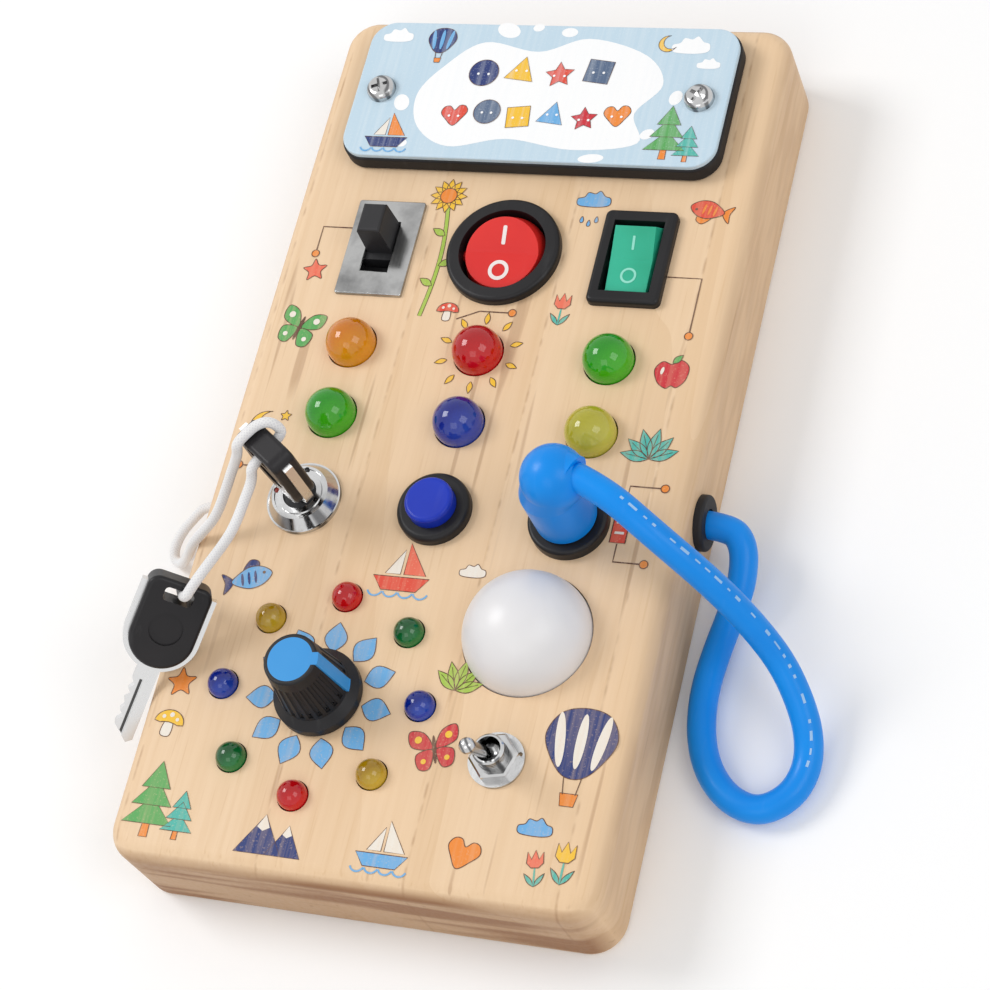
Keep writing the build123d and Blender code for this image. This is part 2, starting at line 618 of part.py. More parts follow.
# ------------------------------------------------------------------ rectangular rocker
square_axle_l = square_body_w - 0.8
with BuildPart() as square_rocker_housing:
    with BuildSketch(Plane.XY.offset(face_z)):
        with Locations((column, switch_row_y)):
            RectangleRounded(square_bezel_w, square_bezel_l, 1.3)
    extrude(amount=square_bezel_h)
    fillet(edges().group_by(Axis.Z)[-1], 0.8)
    with BuildSketch(Plane.XY.offset(body_base_z)):
        with Locations((column, switch_row_y)):
            Rectangle(square_body_w, square_body_l)
    extrude(amount=rocker_body_h)
    with BuildSketch(Plane.XY.offset(face_z - rocker_well)):
        with Locations((column, switch_row_y)):
            Rectangle(square_open_w, square_open_l)
    extrude(amount=rocker_well + square_bezel_h, mode=Mode.SUBTRACT)
    with BuildSketch(Plane.YZ.offset(column - square_axle_l / 2 - 0.1)):
        with Locations((switch_row_y, pivot_z)):
            Circle(rocker_axle_d / 2 + run)
    extrude(amount=square_axle_l + 0.2, mode=Mode.SUBTRACT)
pieces["square_rocker_housing"] = square_rocker_housing

with BuildPart() as square_cap:
    with BuildSketch(Plane.XY.offset(pivot_z - 2.0)):
        with Locations((column, switch_row_y)):
            Rectangle(square_cap_w, square_cap_l)
    extrude(amount=2.6)
    with BuildSketch(Plane.XY.offset(pivot_z + 0.6)):
        with Locations((column, switch_row_y)):
            Rectangle(square_cap_w, square_cap_l)
    with BuildSketch(Plane.XY.offset(pivot_z + 4.2)):
        with Locations((column, switch_row_y)):
            Rectangle(square_face_w, square_face_l)
    loft()
    add(wedge_over((column, switch_row_y, pivot_z), square_cap_w, square_cap_l), mode=Mode.SUBTRACT)
    with BuildSketch(Plane.YZ.offset(column - square_axle_l / 2)):
        with Locations((switch_row_y, pivot_z)):
            Circle(rocker_axle_d / 2)
    extrude(amount=square_axle_l)
with BuildPart() as square_rocker_cap:
    add(square_cap.part.rotate(Axis((column, switch_row_y, pivot_z), (1, 0, 0)), rocker_tilt))
pieces["square_rocker_cap"] = square_rocker_cap


# ------------------------------------------------------------------ lamps
def lamps(places, diameter, flange_d, rise):
    """Domed lamps: a flange under the panel, a body through it and a hemisphere on top."""
    with BuildPart() as made:
        with BuildSketch(Plane.XY.offset(under_z - lamp_flange_t)):
            with Locations(*places):
                Circle(flange_d / 2)
        extrude(amount=lamp_flange_t)
        with BuildSketch(Plane.XY.offset(under_z - lamp_flange_t)):
            with Locations(*places):
                Circle(diameter / 2)
        extrude(amount=front_t + lamp_flange_t + rise)
        with Locations(*[(x, y, face_z + rise) for x, y in places]):
            Sphere(diameter / 2)
    return made


for name, places in big_lamps.items():
    pieces[name] = lamps(places, big_lamp_d, big_lamp_flange_d, big_lamp_rise)
for name, places in small_lamps.items():
    pieces[name] = lamps(places, small_lamp_d, small_lamp_flange_d, small_lamp_rise)

with BuildPart() as lamp_leads:
    with BuildSketch(Plane.XY.offset(pcb_top)):
        with Locations(*big_at, *small_at):
            with GridLocations(lamp_lead_pitch, 0, 2, 1):
                Circle(lamp_lead_d / 2)
    extrude(amount=under_z - lamp_flange_t - pcb_top)
pieces["lamp_leads"] = lamp_leads

dome_centre_z = face_z - dome_sink
with BuildPart() as dome_lens:
    with BuildSketch(Plane.XY.offset(under_z - dome_flange_t)):
        with Locations((dome_x, dome_y)):
            Circle(dome_flange_d / 2)
    extrude(amount=dome_flange_t)
    with BuildSketch(Plane.XY.offset(under_z - dome_flange_t)):
        with Locations((dome_x, dome_y)):
            Circle(dome_d / 2)
    extrude(amount=dome_centre_z - under_z + dome_flange_t)
    with Locations((dome_x, dome_y, dome_centre_z)):
        Sphere(dome_d / 2)
    with BuildSketch(Plane.XY.offset(under_z - dome_flange_t)):
        with Locations((dome_x, dome_y)):
            Circle(dome_d / 2 - dome_wall)
    extrude(amount=dome_centre_z - under_z + dome_flange_t, mode=Mode.SUBTRACT)
    with Locations((dome_x, dome_y, dome_centre_z)):
        Sphere(dome_d / 2 - dome_wall, mode=Mode.SUBTRACT)
    # trim the part of the sphere that would hang below the flange
    with BuildSketch(Plane.XY.offset(under_z - dome_flange_t)):
        with Locations((dome_x, dome_y)):
            Circle(dome_flange_d)
    extrude(amount=-dome_d, mode=Mode.SUBTRACT)
pieces["dome_lens"] = dome_lens

dome_board_z = under_z - dome_flange_t - dome_board_t
with BuildPart() as dome_lamp:
    with BuildSketch(Plane.XY.offset(dome_board_z)):
        with Locations((dome_x, dome_y)):
            Circle(dome_flange_d / 2 - 0.6)
    extrude(amount=dome_board_t)
    with BuildSketch(Plane.XY.offset(dome_board_z + dome_board_t)):
        with Locations((dome_x, dome_y)):
            Circle(2.5)
    extrude(amount=4.2)
    with Locations((dome_x, dome_y, dome_board_z + dome_board_t + 4.2)):
        Sphere(2.5)
    with BuildSketch(Plane.XY.offset(pcb_top)):
        with Locations((dome_x - 6, dome_y), (dome_x + 6, dome_y)):
            Circle(lamp_lead_d)
    extrude(amount=dome_board_z - pcb_top)
pieces["dome_lamp"] = dome_lamp

# ------------------------------------------------------------------ key lock
lock_top = face_z + lock_rise
lock_base_z = 6.4
with BuildPart() as key_lock_housing:
    with BuildSketch(Plane.XY.offset(lock_base_z)):
        with Locations((lock_x, lock_y)):
            Circle(barrel_d / 2)
    extrude(amount=face_z - lock_base_z)
    with BuildSketch(Plane.XY.offset(face_z)):
        with Locations((lock_x, lock_y)):
            Circle(lock_flange_d / 2)
    extrude(amount=0.9)
    with Locations((lock_x, lock_y, face_z + 0.9)):
        Cone(lock_flange_d / 2 - 0.3, lock_face_d / 2, lock_rise - 0.9, align=standing)
    with BuildSketch(Plane.XY.offset(lock_top)):
        with Locations((lock_x, lock_y)):
            Circle(lock_face_d / 2 - 0.5)
            Circle(rotor_ring_d / 2 + 0.6, mode=Mode.SUBTRACT)
    extrude(amount=-0.25, mode=Mode.SUBTRACT)
    with BuildSketch(Plane.XY.offset(lock_base_z)):
        with Locations((lock_x, lock_y)):
            Circle(rotor_d / 2 + run)
    extrude(amount=lock_top - lock_base_z, mode=Mode.SUBTRACT)
    for angle in lock_dots:
        dot = (lock_x + 4.85 * cos(radians(angle)), lock_y + 4.85 * sin(radians(angle)))
        with BuildSketch(Plane.XY.offset(lock_top)):
            with Locations(dot):
                Circle(0.55)
        extrude(amount=-0.5, mode=Mode.SUBTRACT)
pieces["key_lock_housing"] = key_lock_housing

with BuildPart() as key_lock_rotor:
    with BuildSketch(Plane.XY.offset(rotor_base_z)):
        with Locations((lock_x, lock_y)):
            Circle(rotor_d / 2)
            Rectangle(key_blade_w + 2 * key_play, key_plate_t + 2 * key_play,
                      rotation=key_angle, mode=Mode.SUBTRACT)
    extrude(amount=lock_top - 0.3 - rotor_base_z)
    # tail plate that works the contacts
    with BuildSketch(Plane.XY.offset(rotor_base_z)):
        with Locations((lock_x, lock_y)):
            Circle(5.2)
            Rectangle(key_blade_w + 2 * key_play, key_plate_t + 2 * key_play,
                      rotation=key_angle, mode=Mode.SUBTRACT)
    extrude(amount=1.4)
pieces["key_lock_rotor"] = key_lock_rotor

with BuildPart() as panel_nuts:
    with BuildSketch(Plane.XY.offset(under_z - nut_t)):
        with Locations(*barrels_at):
            RegularPolygon(nut_af / 2, 6, major_radius=False)
            Circle(barrel_d / 2, mode=Mode.SUBTRACT)
    extrude(amount=nut_t)
pieces["panel_nuts"] = panel_nuts


# ------------------------------------------------------------------ keys
def key_pair(plane):
    """One key on a plane: local x across the head, y towards the head's top, z out of its face."""
    head_r = key_head_w / 2
    with BuildPart() as blade:
        with BuildSketch(plane.offset(-key_plate_t / 2)):
            with Locations((0, head_r - key_rim)):
                Circle(head_r)
            with Locations((0, (head_r - key_rim + key_hole_v + key_plate_past_hole) / 2)):
                Rectangle(key_head_w, key_hole_v + key_plate_past_hole - head_r + key_rim)
            with Locations((0, key_tip_v / 2)):
                Rectangle(key_blade_w, -key_tip_v)
            with Locations((0, key_hole_v)):
                Rectangle(key_hole_w + 0.6, key_hole_l + 0.6, mode=Mode.SUBTRACT)
            # slanted tip and bitting
            half = key_blade_w / 2
            nicks = [((-half, key_tip_v), (1.0, key_tip_v), (-half, key_tip_v + 3.0)),
                     ((half, key_tip_v), (half, key_tip_v + 0.9), (1.0, key_tip_v))]
            nicks += [((-half, v - 1.0), (depth - half, v), (-half, v + 1.0))
                      for v, depth in ((-4.6, 0.7), (-6.8, 1.0), (-9.0, 0.5), (-11.2, 0.9))]
            for nick in nicks:
                with BuildLine():
                    Polyline(*nick, close=True)
                make_face(mode=Mode.SUBTRACT)
        extrude(amount=key_plate_t)
        for face_at, way in ((key_plate_t / 2, -1), (-key_plate_t / 2, 1)):
            with BuildSketch(plane.offset(face_at)):
                with Locations((0.5 * way, key_tip_v / 2 - 1.4)):
                    Rectangle(0.8, -key_tip_v - 3.6)
            extrude(amount=0.45 * way, mode=Mode.SUBTRACT)
    with BuildPart() as grip:
        with BuildSketch(plane.offset(-grip_t / 2)):
            with Locations((0, grip_w / 2)):
                Circle(grip_w / 2)
            with BuildLine():
                FilletPolyline((-grip_w / 2, grip_w / 2), (-grip_w / 2, grip_l),
                               (grip_w / 2, grip_l), (grip_w / 2, grip_w / 2), radius=grip_top_r)
                Line((grip_w / 2, grip_w / 2), (-grip_w / 2, grip_w / 2))
            make_face()
        extrude(amount=grip_t)
        outer = edges().filter_by(lambda e: abs(abs(plane.to_local_coords(e.center()).Z)
                                                - grip_t / 2) < 0.01)
        fillet(outer, 0.8)
        for face_at, way in ((grip_t / 2, -1), (-grip_t / 2, 1)):
            with BuildSketch(plane.offset(face_at)):
                with Locations((0, grip_l * 0.46)):
                    Circle(3.2)
            extrude(amount=0.4 * way, mode=Mode.SUBTRACT)
        with BuildSketch(plane.offset(-grip_t / 2)):
            with Locations((0, key_hole_v)):
                RectangleRounded(key_hole_w, key_hole_l, 0.8)
        extrude(amount=grip_t, mode=Mode.SUBTRACT)
        add(blade.part, mode=Mode.SUBTRACT)
    return blade, grip


across = Vector(cos(radians(key_angle)), sin(radians(key_angle)), 0)
key_1_z = lock_top + key_over_lock + key_rim
key_1_plane = Plane(origin=(lock_x, lock_y, key_1_z), x_dir=across, z_dir=across.cross(Vector(0, 0, 1)))
pieces["key_1_blade"], pieces["key_1_grip"] = key_pair(key_1_plane)

# the second key lies on the front by the left edge, its blade past the edge
key_2_x_dir = Vector(0.7943, 0.0102, -0.6074)
key_2_up = Vector(0.370, 0.7849, 0.497)
key_2_hole = Vector(lock_x - 14.08, lock_y - 26.3, face_z + 11.15)
key_2_z_dir = key_2_x_dir.cross(key_2_up)
key_2_plane = Plane(origin=key_2_hole - key_2_up.normalized() * key_hole_v, x_dir=key_2_x_dir,
                    z_dir=key_2_z_dir)
pieces["key_2_blade"], pieces["key_2_grip"] = key_pair(key_2_plane)


def by_key(t, w, z):
    """A point beside key 1: t through its thickness, w along its width, z up."""
    return (lock_x + t * sin(radians(key_angle)) + w * cos(radians(key_angle)),
            lock_y - t * cos(radians(key_angle)) + w * sin(radians(key_angle)), z)


def by_key_2(x, v, out):
    """A point beside key 2: x across its head, v past the hole towards its top, out of its face."""
    point = (key_2_hole + key_2_x_dir.normalized() * x + key_2_up.normalized() * v
             + key_2_z_dir.normalized() * out)
    return (point.X, point.Y, point.Z)


key_cord_points = [
    (-39.0, cord_hole_y, cord_hole_z), (-46.0, cord_hole_y, cord_hole_z), (-52.4, -17.0, 10.6),
    (-55.4, -19.0, 8.4), (-58.8, -20.6, 5.2), (-60.9, -22.8, 2.6), (-61.2, -24.8, 1.15),
    (-59.5, -26.1, 1.2), (-56.9, -26.8, 4.6), (-53.2, -28.0, 10.5), (-49.7, -29.3, 16.6),
    (-47.1, -29.5, 20.8), (-44.7, -28.3, 23.0), (-42.5, -27.0, 24.8), (-40.7, -25.4, 26.8),
    (-38.6, -22.9, 30.2), (-36.7, -20.7, 33.6), (-34.8, -19.5, 36.8),
    by_key(-4.1, 3.9, 41.2), by_key(-3.5, 3.0, 44.6), by_key(0.0, 3.0, 44.8), by_key(1.7, 2.8, 44.75),
    by_key(3.4, 2.0, 44.5), by_key(4.3, 0.8, 43.1), by_key(4.1, 0.0, 40.9), by_key(-4.2, 0.0, 40.75),
    by_key(-5.5, -0.2, 37.4), (-31.5, -26.5, 35.2), (-32.3, -30.2, 34.2), (-33.2, -34.1, 34.0),
    by_key_2(2.1, 7.0, 4.2), by_key_2(1.3, 3.7, 4.3), by_key_2(0.7, 0.0, 4.2),
    by_key_2(0.7, 0.0, -(grip_t / 2 + tiny + knot_d / 2)),
]
key_cord, key_cord_length = tube(key_cord_points, cord_d)
with BuildPart() as key_cord_with_knots:
    add(key_cord.part)
    with Locations(key_cord_points[0], key_cord_points[-1]):
        Sphere(knot_d / 2)
pieces["key_cord"] = key_cord_with_knots

# ------------------------------------------------------------------ push button
button_top = face_z + button_rise
with BuildPart() as push_button_housing:
    with BuildSketch(Plane.XY.offset(button_floor_z - 2.2)):
        with Locations((button_x, button_y)):
            Circle(barrel_d / 2)
    extrude(amount=face_z - button_floor_z + 2.2)
    with BuildSketch(Plane.XY.offset(face_z)):
        with Locations((button_x, button_y)):
            Circle(button_flange_d / 2)
    extrude(amount=button_flange_h)
    fillet(edges().group_by(Axis.Z)[-1], 1.1)
    with BuildSketch(Plane.XY.offset(button_floor_z)):
        with Locations((button_x, button_y)):
            Circle(button_cap_d / 2 + run)
    extrude(amount=button_top, mode=Mode.SUBTRACT)
pieces["push_button_housing"] = push_button_housing

button_cap_base = face_z - 3.6
with BuildPart() as push_button_cap:
    with BuildSketch(Plane.XY.offset(button_cap_base)):
        with Locations((button_x, button_y)):
            Circle(button_cap_d / 2)
    extrude(amount=button_top - button_cap_base)
    fillet(edges().group_by(Axis.Z)[-1], 0.8)
pieces["push_button_cap"] = push_button_cap

spring_turns = 5
with BuildPart() as push_button_spring:
    spring_h = button_cap_base - button_floor_z - button_wire
    with BuildLine():
        Helix(pitch=spring_h / spring_turns, height=spring_h, radius=(button_spring_d - button_wire) / 2,
              center=(button_x, button_y, button_floor_z + button_wire / 2))
    with BuildSketch(Plane(origin=(button_x + (button_spring_d - button_wire) / 2, button_y,
                                   button_floor_z + button_wire / 2), z_dir=(0, 1, 0))):
        Circle(button_wire / 2)
    sweep()
pieces["push_button_spring"] = push_button_spring

# ------------------------------------------------------------------ socket and plug
socket_base_z = 7.0
plug_base_z = face_z + socket_ring_h + 0.2
with BuildPart() as socket_housing:
    with BuildSketch(Plane.XY.offset(socket_base_z)):
        with Locations((plug_x, plug_y)):
            Circle(barrel_d / 2)
    extrude(amount=face_z - socket_base_z)
    with BuildSketch(Plane.XY.offset(face_z)):
        with Locations((plug_x, plug_y)):
            Circle(socket_ring_d / 2)
    extrude(amount=socket_ring_h)
    fillet(edges().group_by(Axis.Z)[-1], 0.7)
    with BuildSketch(Plane.XY.offset(plug_base_z - plug_pin_l - 1.2)):
        with Locations((plug_x, plug_y)):
            Circle(plug_pin_d / 2 + run)
    extrude(amount=plug_pin_l + 1.2, mode=Mode.SUBTRACT)
pieces["socket_housing"] = socket_housing

plug_head = Vector(plug_x + 1.5, plug_y + 0.5, plug_base_z + plug_neck_h + 3.6)
cable_points = [
    (32.2, -18.0, 39.3), (36.2, -19.6, 39.0), (41.1, -22.1, 38.2), (46.2, -25.2, 36.2), (50.8, -27.6, 32.8),
    (55.3, -29.6, 28.2), (59.8, -31.8, 22.8), (64.3, -34.6, 17.2), (68.5, -38.2, 12.0), (71.8, -43.2, 7.8),
    (74.0, -48.5, 4.7), (74.4, -54.3, 3.0), (72.2, -59.8, 2.7), (67.2, -63.2, 2.7), (61.4, -61.7, 2.7),
    (56.5, -56.8, 2.7), (53.6, -50.0, 2.7), (52.6, -41.6, 2.75), (53.5, -33.6, 3.2), (55.2, -26.6, 4.6),
    (56.6, -20.6, 6.8), (56.2, -14.6, 9.2), (52.8, -11.5, 10.3), (41.0, -11.5, 10.3),
]
with BuildPart() as plug_body:
    with BuildSketch(Plane.XY.offset(plug_base_z)):
        with Locations((plug_x, plug_y)):
            Circle(plug_d / 2)
    extrude(amount=plug_neck_h)
    fillet(edges().group_by(Axis.Z)[0], 0.6)
    with BuildSketch(Plane.XY.offset(plug_base_z + plug_neck_h)):
        with Locations((plug_x, plug_y)):
            Circle(plug_d / 2)
    with BuildSketch(Plane.XY.offset(plug_head.Z)):
        with Locations((plug_head.X, plug_head.Y)):
            Circle(plug_head_r)
    loft()
    with Locations(tuple(plug_head)):
        Sphere(plug_head_r)
    # boss round the cable, pointing along it
    boss_dir = Vector(*cable_points[1]) - Vector(*cable_points[0])
    with BuildSketch(Plane(origin=cable_points[0], z_dir=boss_dir)):
        Circle(cable_d / 2 + 1.0)
    extrude(amount=-5.5)
    with BuildSketch(Plane(origin=cable_points[0], z_dir=boss_dir)):
        Circle(cable_d / 2)
    extrude(amount=plug_head_r, mode=Mode.SUBTRACT)
    # seat of the pin
    with BuildSketch(Plane.XY.offset(plug_base_z)):
        with Locations((plug_x, plug_y)):
            Circle(plug_pin_d / 2 - 1.0)
    extrude(amount=5, mode=Mode.SUBTRACT)
pieces["plug_body"] = plug_body

with BuildPart() as plug_pin:
    with BuildSketch(Plane.XY.offset(plug_base_z - plug_pin_l)):
        with Locations((plug_x, plug_y)):
            Circle(plug_pin_d / 2)
    extrude(amount=plug_pin_l)
    fillet(edges().group_by(Axis.Z)[0], 1.4)
    with BuildSketch(Plane.XY.offset(plug_base_z - 5.2)):
        with Locations((plug_x, plug_y)):
            Circle(plug_pin_d / 2)
            Circle(plug_pin_d / 2 - 0.35, mode=Mode.SUBTRACT)
    extrude(amount=0.8, mode=Mode.SUBTRACT)
    with BuildSketch(Plane.XY.offset(plug_base_z)):
        with Locations((plug_x, plug_y)):
            Circle(plug_pin_d / 2 - 1.0)
    extrude(amount=5)
pieces["plug_pin"] = plug_pin

blue_cable, cable_length = tube(cable_points, cable_d)
pieces["blue_cable"] = blue_cable

with BuildPart() as cable_grommet:
    with BuildSketch(Plane.YZ.offset(case_w / 2)):
        with Locations((grommet_y, grommet_z)):
            Circle(grommet_flange_d / 2)
    extrude(amount=grommet_flange_t)
    fillet(edges().group_by(Axis.X)[-1], 0.6)
    with BuildSketch(Plane.YZ.offset(case_w / 2 - case_wall)):
        with Locations((grommet_y, grommet_z)):
            Circle(grommet_barrel_d / 2)
    extrude(amount=case_wall)
    with BuildSketch(Plane.YZ.offset(case_w / 2 - case_wall - 1.2)):
        with Locations((grommet_y, grommet_z)):
            Circle(grommet_barrel_d / 2 + 0.6)
    extrude(amount=1.2)
    with BuildSketch(Plane.YZ.offset(case_w / 2 - case_wall - 1.2)):
        with Locations((grommet_y, grommet_z)):
            Circle(cable_d / 2 + 0.1)
    extrude(amount=case_wall + 1.2 + grommet_flange_t, mode=Mode.SUBTRACT)
pieces["cable_grommet"] = cable_grommet

# ------------------------------------------------------------------ toggle switch
toggle_top = face_z + toggle_rise
toggle_pivot_z = toggle_top - toggle_pivot_drop
toggle_at = (toggle_x, toggle_y)
with BuildPart() as toggle_housing:
    with BuildSketch(Plane.XY.offset(under_z - toggle_body_h)):
        with Locations(toggle_at):
            Rectangle(toggle_body_w, toggle_body_l)
    extrude(amount=toggle_body_h)
    with BuildSketch(Plane.XY.offset(under_z)):
        with Locations(toggle_at):
            Circle(toggle_bushing_d / 2)
    extrude(amount=toggle_top - under_z)
    chamfer(edges().group_by(Axis.Z)[-1], 0.3)
    # shallow rings for the thread that shows over the nut
    for k in range(4):
        with BuildSketch(Plane.XY.offset(face_z + toggle_washer_t + toggle_nut_t + 0.35 + 0.62 * k)):
            with Locations(toggle_at):
                Circle(toggle_bushing_d / 2)
                Circle(toggle_bushing_d / 2 - 0.22, mode=Mode.SUBTRACT)
        extrude(amount=0.3, mode=Mode.SUBTRACT)
    with BuildSketch(Plane.XY.offset(toggle_pivot_z - 6.4)):
        with Locations(toggle_at):
            Circle(toggle_bore_d / 2)
    extrude(amount=toggle_top - toggle_pivot_z + 6.4, mode=Mode.SUBTRACT)
pieces["toggle_housing"] = toggle_housing

with BuildPart() as toggle_washer:
    with BuildSketch(Plane.XY.offset(face_z)):
        with Locations(toggle_at):
            Circle(toggle_washer_d / 2)
            Circle(toggle_bushing_d / 2 + run, mode=Mode.SUBTRACT)
        with Locations((toggle_x + 4.2, toggle_y + 1.5)):
            Circle(0.45, mode=Mode.SUBTRACT)
    extrude(amount=toggle_washer_t)
pieces["toggle_washer"] = toggle_washer

with BuildPart() as toggle_nut:
    with BuildSketch(Plane.XY.offset(face_z + toggle_washer_t)):
        with Locations(toggle_at):
            RegularPolygon(toggle_nut_af / 2, 6, major_radius=False, rotation=12)
    extrude(amount=toggle_nut_t)
    chamfer(edges().group_by(Axis.Z)[-1], 0.35)
    with BuildSketch(Plane.XY.offset(face_z + toggle_washer_t)):
        with Locations(toggle_at):
            Circle(toggle_bushing_d / 2 + run)
    extrude(amount=toggle_nut_t, mode=Mode.SUBTRACT)
pieces["toggle_nut"] = toggle_nut

with BuildPart() as toggle_stick:
    with Locations((*toggle_at, toggle_pivot_z)):
        Sphere(toggle_ball_d / 2)
    with Locations((*toggle_at, toggle_pivot_z)):
        Cone(toggle_neck_d / 2, toggle_tip_d / 2 - 0.25, toggle_lever_l - toggle_tip_d / 2, align=standing)
    with Locations((*toggle_at, toggle_pivot_z + toggle_lever_l - toggle_tip_d / 2)):
        Sphere(toggle_tip_d / 2)
    with BuildSketch(Plane.XY.offset(toggle_pivot_z - 5.4)):
        with Locations(toggle_at):
            Circle(0.7)
    extrude(amount=5.4)
with BuildPart() as toggle_lever:
    add(toggle_stick.part.rotate(Axis((*toggle_at, toggle_pivot_z), (1, 0, 0)), toggle_tilt))
pieces["toggle_lever"] = toggle_lever

# ------------------------------------------------------------------ knob and potentiometer
knob_base_z = face_z + knob_lift
knob_top_z = face_z + knob_h
skirt_z = knob_base_z + knob_skirt_h
pot_top = face_z + pot_rise
knob_at = (ring_x, ring_y)


with BuildPart() as knob_cap:
    with BuildSketch(Plane.XY.offset(skirt_z + 0.2)):
        with Locations(knob_at):
            with Locations(Rotation(0, 0, knob_pointer_angle)):
                with Locations((knob_skirt_d / 4, 0)):
                    Rectangle(knob_skirt_d / 2, knob_pointer_w)
    extrude(amount=knob_top_z - skirt_z - 0.2)
    add(knob_shape(0.35), mode=Mode.INTERSECT)
    add(knob_shape(-0.6), mode=Mode.SUBTRACT)
    with BuildSketch(Plane.XY.offset(knob_top_z - knob_cap_t)):
        with Locations(knob_at):
            Circle(knob_cap_d / 2)
            with Locations(Rotation(0, 0, knob_pointer_angle)):
                with Locations((knob_top_d / 4, 0)):
                    Rectangle(knob_top_d / 2, knob_pointer_w)
    extrude(amount=knob_cap_t)
pieces["knob_cap"] = knob_cap

with BuildPart() as knob_body:
    add(knob_shape(0))
    fillet(edges().group_by(Axis.Z)[-1], 0.4)
    # fine flutes down the tapered body
    lean = degrees(asin((knob_body_d - knob_top_d) / 2 / (knob_top_z - skirt_z)))
    flute_r = (knob_body_d + knob_top_d) / 4 + 0.28
    with Locations((ring_x, ring_y, (skirt_z + knob_top_z) / 2 - 0.9)):
        with PolarLocations(flute_r, 24):
            Cylinder(0.5, knob_top_z - skirt_z - 3.2, rotation=(0, -lean, 0), mode=Mode.SUBTRACT)
    with BuildSketch(Plane.XY.offset(knob_base_z)):
        with Locations(knob_at):
            Circle(knob_hollow_d / 2)
    extrude(amount=knob_hollow_h, mode=Mode.SUBTRACT)
    with BuildSketch(Plane.XY.offset(knob_base_z)):
        with Locations(knob_at):
            Circle(shaft_d / 2)
    extrude(amount=knob_top_z - knob_cap_t - 1.2 - knob_base_z, mode=Mode.SUBTRACT)
    add(knob_cap.part, mode=Mode.SUBTRACT)
pieces["knob_body"] = knob_body

pot_base_z = under_z - pot_body_h
with BuildPart() as knob_shaft:
    with BuildSketch(Plane.XY.offset(pot_base_z + 1.2)):
        with Locations(knob_at):
            Circle(shaft_d / 2)
    extrude(amount=knob_top_z - knob_cap_t - 1.4 - pot_base_z - 1.2)
pieces["knob_shaft"] = knob_shaft

with BuildPart() as potentiometer_body:
    with BuildSketch(Plane.XY.offset(pot_base_z)):
        with Locations(knob_at):
            Circle(pot_body_d / 2)
    extrude(amount=pot_body_h)
    with BuildSketch(Plane.XY.offset(under_z)):
        with Locations(knob_at):
            Circle(pot_bushing_d / 2)
    extrude(amount=pot_top - under_z)
    with BuildSketch(Plane.XY.offset(pot_base_z + 1.1)):
        with Locations(knob_at):
            Circle(shaft_d / 2 + run)
    extrude(amount=pot_top - pot_base_z, mode=Mode.SUBTRACT)
pieces["potentiometer_body"] = potentiometer_body

with BuildPart() as potentiometer_nut:
    with BuildSketch(Plane.XY.offset(face_z)):
        with Locations(knob_at):
            RegularPolygon(pot_nut_af / 2, 6, major_radius=False)
            Circle(pot_bushing_d / 2, mode=Mode.SUBTRACT)
    extrude(amount=pot_nut_t)
pieces["potentiometer_nut"] = potentiometer_nut

# ------------------------------------------------------------------ terminals and wires
tabs = [  # (x, y, top of the tab)
    (slide_x, slide_y + 5, face_z - slide_body_h), (slide_x, slide_y - 5, face_z - slide_body_h),
    (0, switch_row_y + 5, body_base_z), (0, switch_row_y - 5, body_base_z),
    (column, switch_row_y + 5, body_base_z), (column, switch_row_y - 5, body_base_z),
    (button_x - 3, button_y, button_floor_z - 2.2), (button_x + 3, button_y, button_floor_z - 2.2),
    (plug_x - 3, plug_y, socket_base_z), (plug_x + 3, plug_y, socket_base_z),
]
with BuildPart() as switch_terminals:
    for x, y, top in tabs:
        with BuildSketch(Plane.XY.offset(terminal_z)):
            with Locations((x, y)):
                Rectangle(terminal_w if y > 0 else terminal_t, terminal_t if y > 0 else terminal_w)
        extrude(amount=top - terminal_z)
    # toggle and potentiometer legs stand on the circuit board
    with BuildSketch(Plane.XY.offset(pcb_top)):
        with Locations((toggle_x, toggle_y)):
            with GridLocations(0, 4.6, 1, 3):
                Rectangle(2.0, terminal_t)
    extrude(amount=under_z - toggle_body_h - pcb_top)
    with BuildSketch(Plane.XY.offset(pcb_top)):
        with Locations((ring_x, ring_y)):
            with GridLocations(5, 0, 3, 1):
                Rectangle(terminal_t, 2.0)
    extrude(amount=pot_base_z - pcb_top)
pieces["switch_terminals"] = switch_terminals

wire_end_y = socket_row_y - 10.4
wire_runs = [  # from a terminal's lower end to the lower side of the circuit board
    ((slide_x - 1, slide_y - 5), (-24, pcb_y1 - 4)), ((slide_x + 1, slide_y + 5), (-17, pcb_y1 - 4)),
    ((-1, switch_row_y - 5), (-4, pcb_y1 - 4)), ((1, switch_row_y + 5), (5, pcb_y1 - 4)),
    ((column + 1, switch_row_y - 5), (24, pcb_y1 - 4)), ((column - 1, switch_row_y + 5), (17, pcb_y1 - 4)),
    ((button_x - 3, button_y), (-9, wire_end_y)), ((button_x + 3, button_y), (2, wire_end_y)),
    ((plug_x - 3, plug_y), (column - 7.4, wire_end_y)), ((plug_x + 3, plug_y), (column + 2.6, wire_end_y)),
]
with BuildPart() as wiring:
    for (x0, y0), (x1, y1) in wire_runs:
        start = (x0, y0, terminal_z)
        run_points = [start, (x0, y0, wire_z), (x1, y1, wire_z), (x1, y1, pcb_z)]
        add(tube(run_points, wire_d, cap=wire_bend)[0].part)
    for x0, x1 in ((-20.0, -9.5), (20.0, 10.5)):
        # battery leads run over the box's near lug to the circuit board
        lead = [(x0, box_y - box_l / 2, 8.0), (x0, box_y - box_l / 2 - 2.4, 8.0),
                (x1, pcb_y1 - 3, 8.0), (x1, pcb_y1 - 3, pcb_top)]
        add(tube(lead, wire_d, cap=wire_bend)[0].part)
pieces["wiring"] = wiring

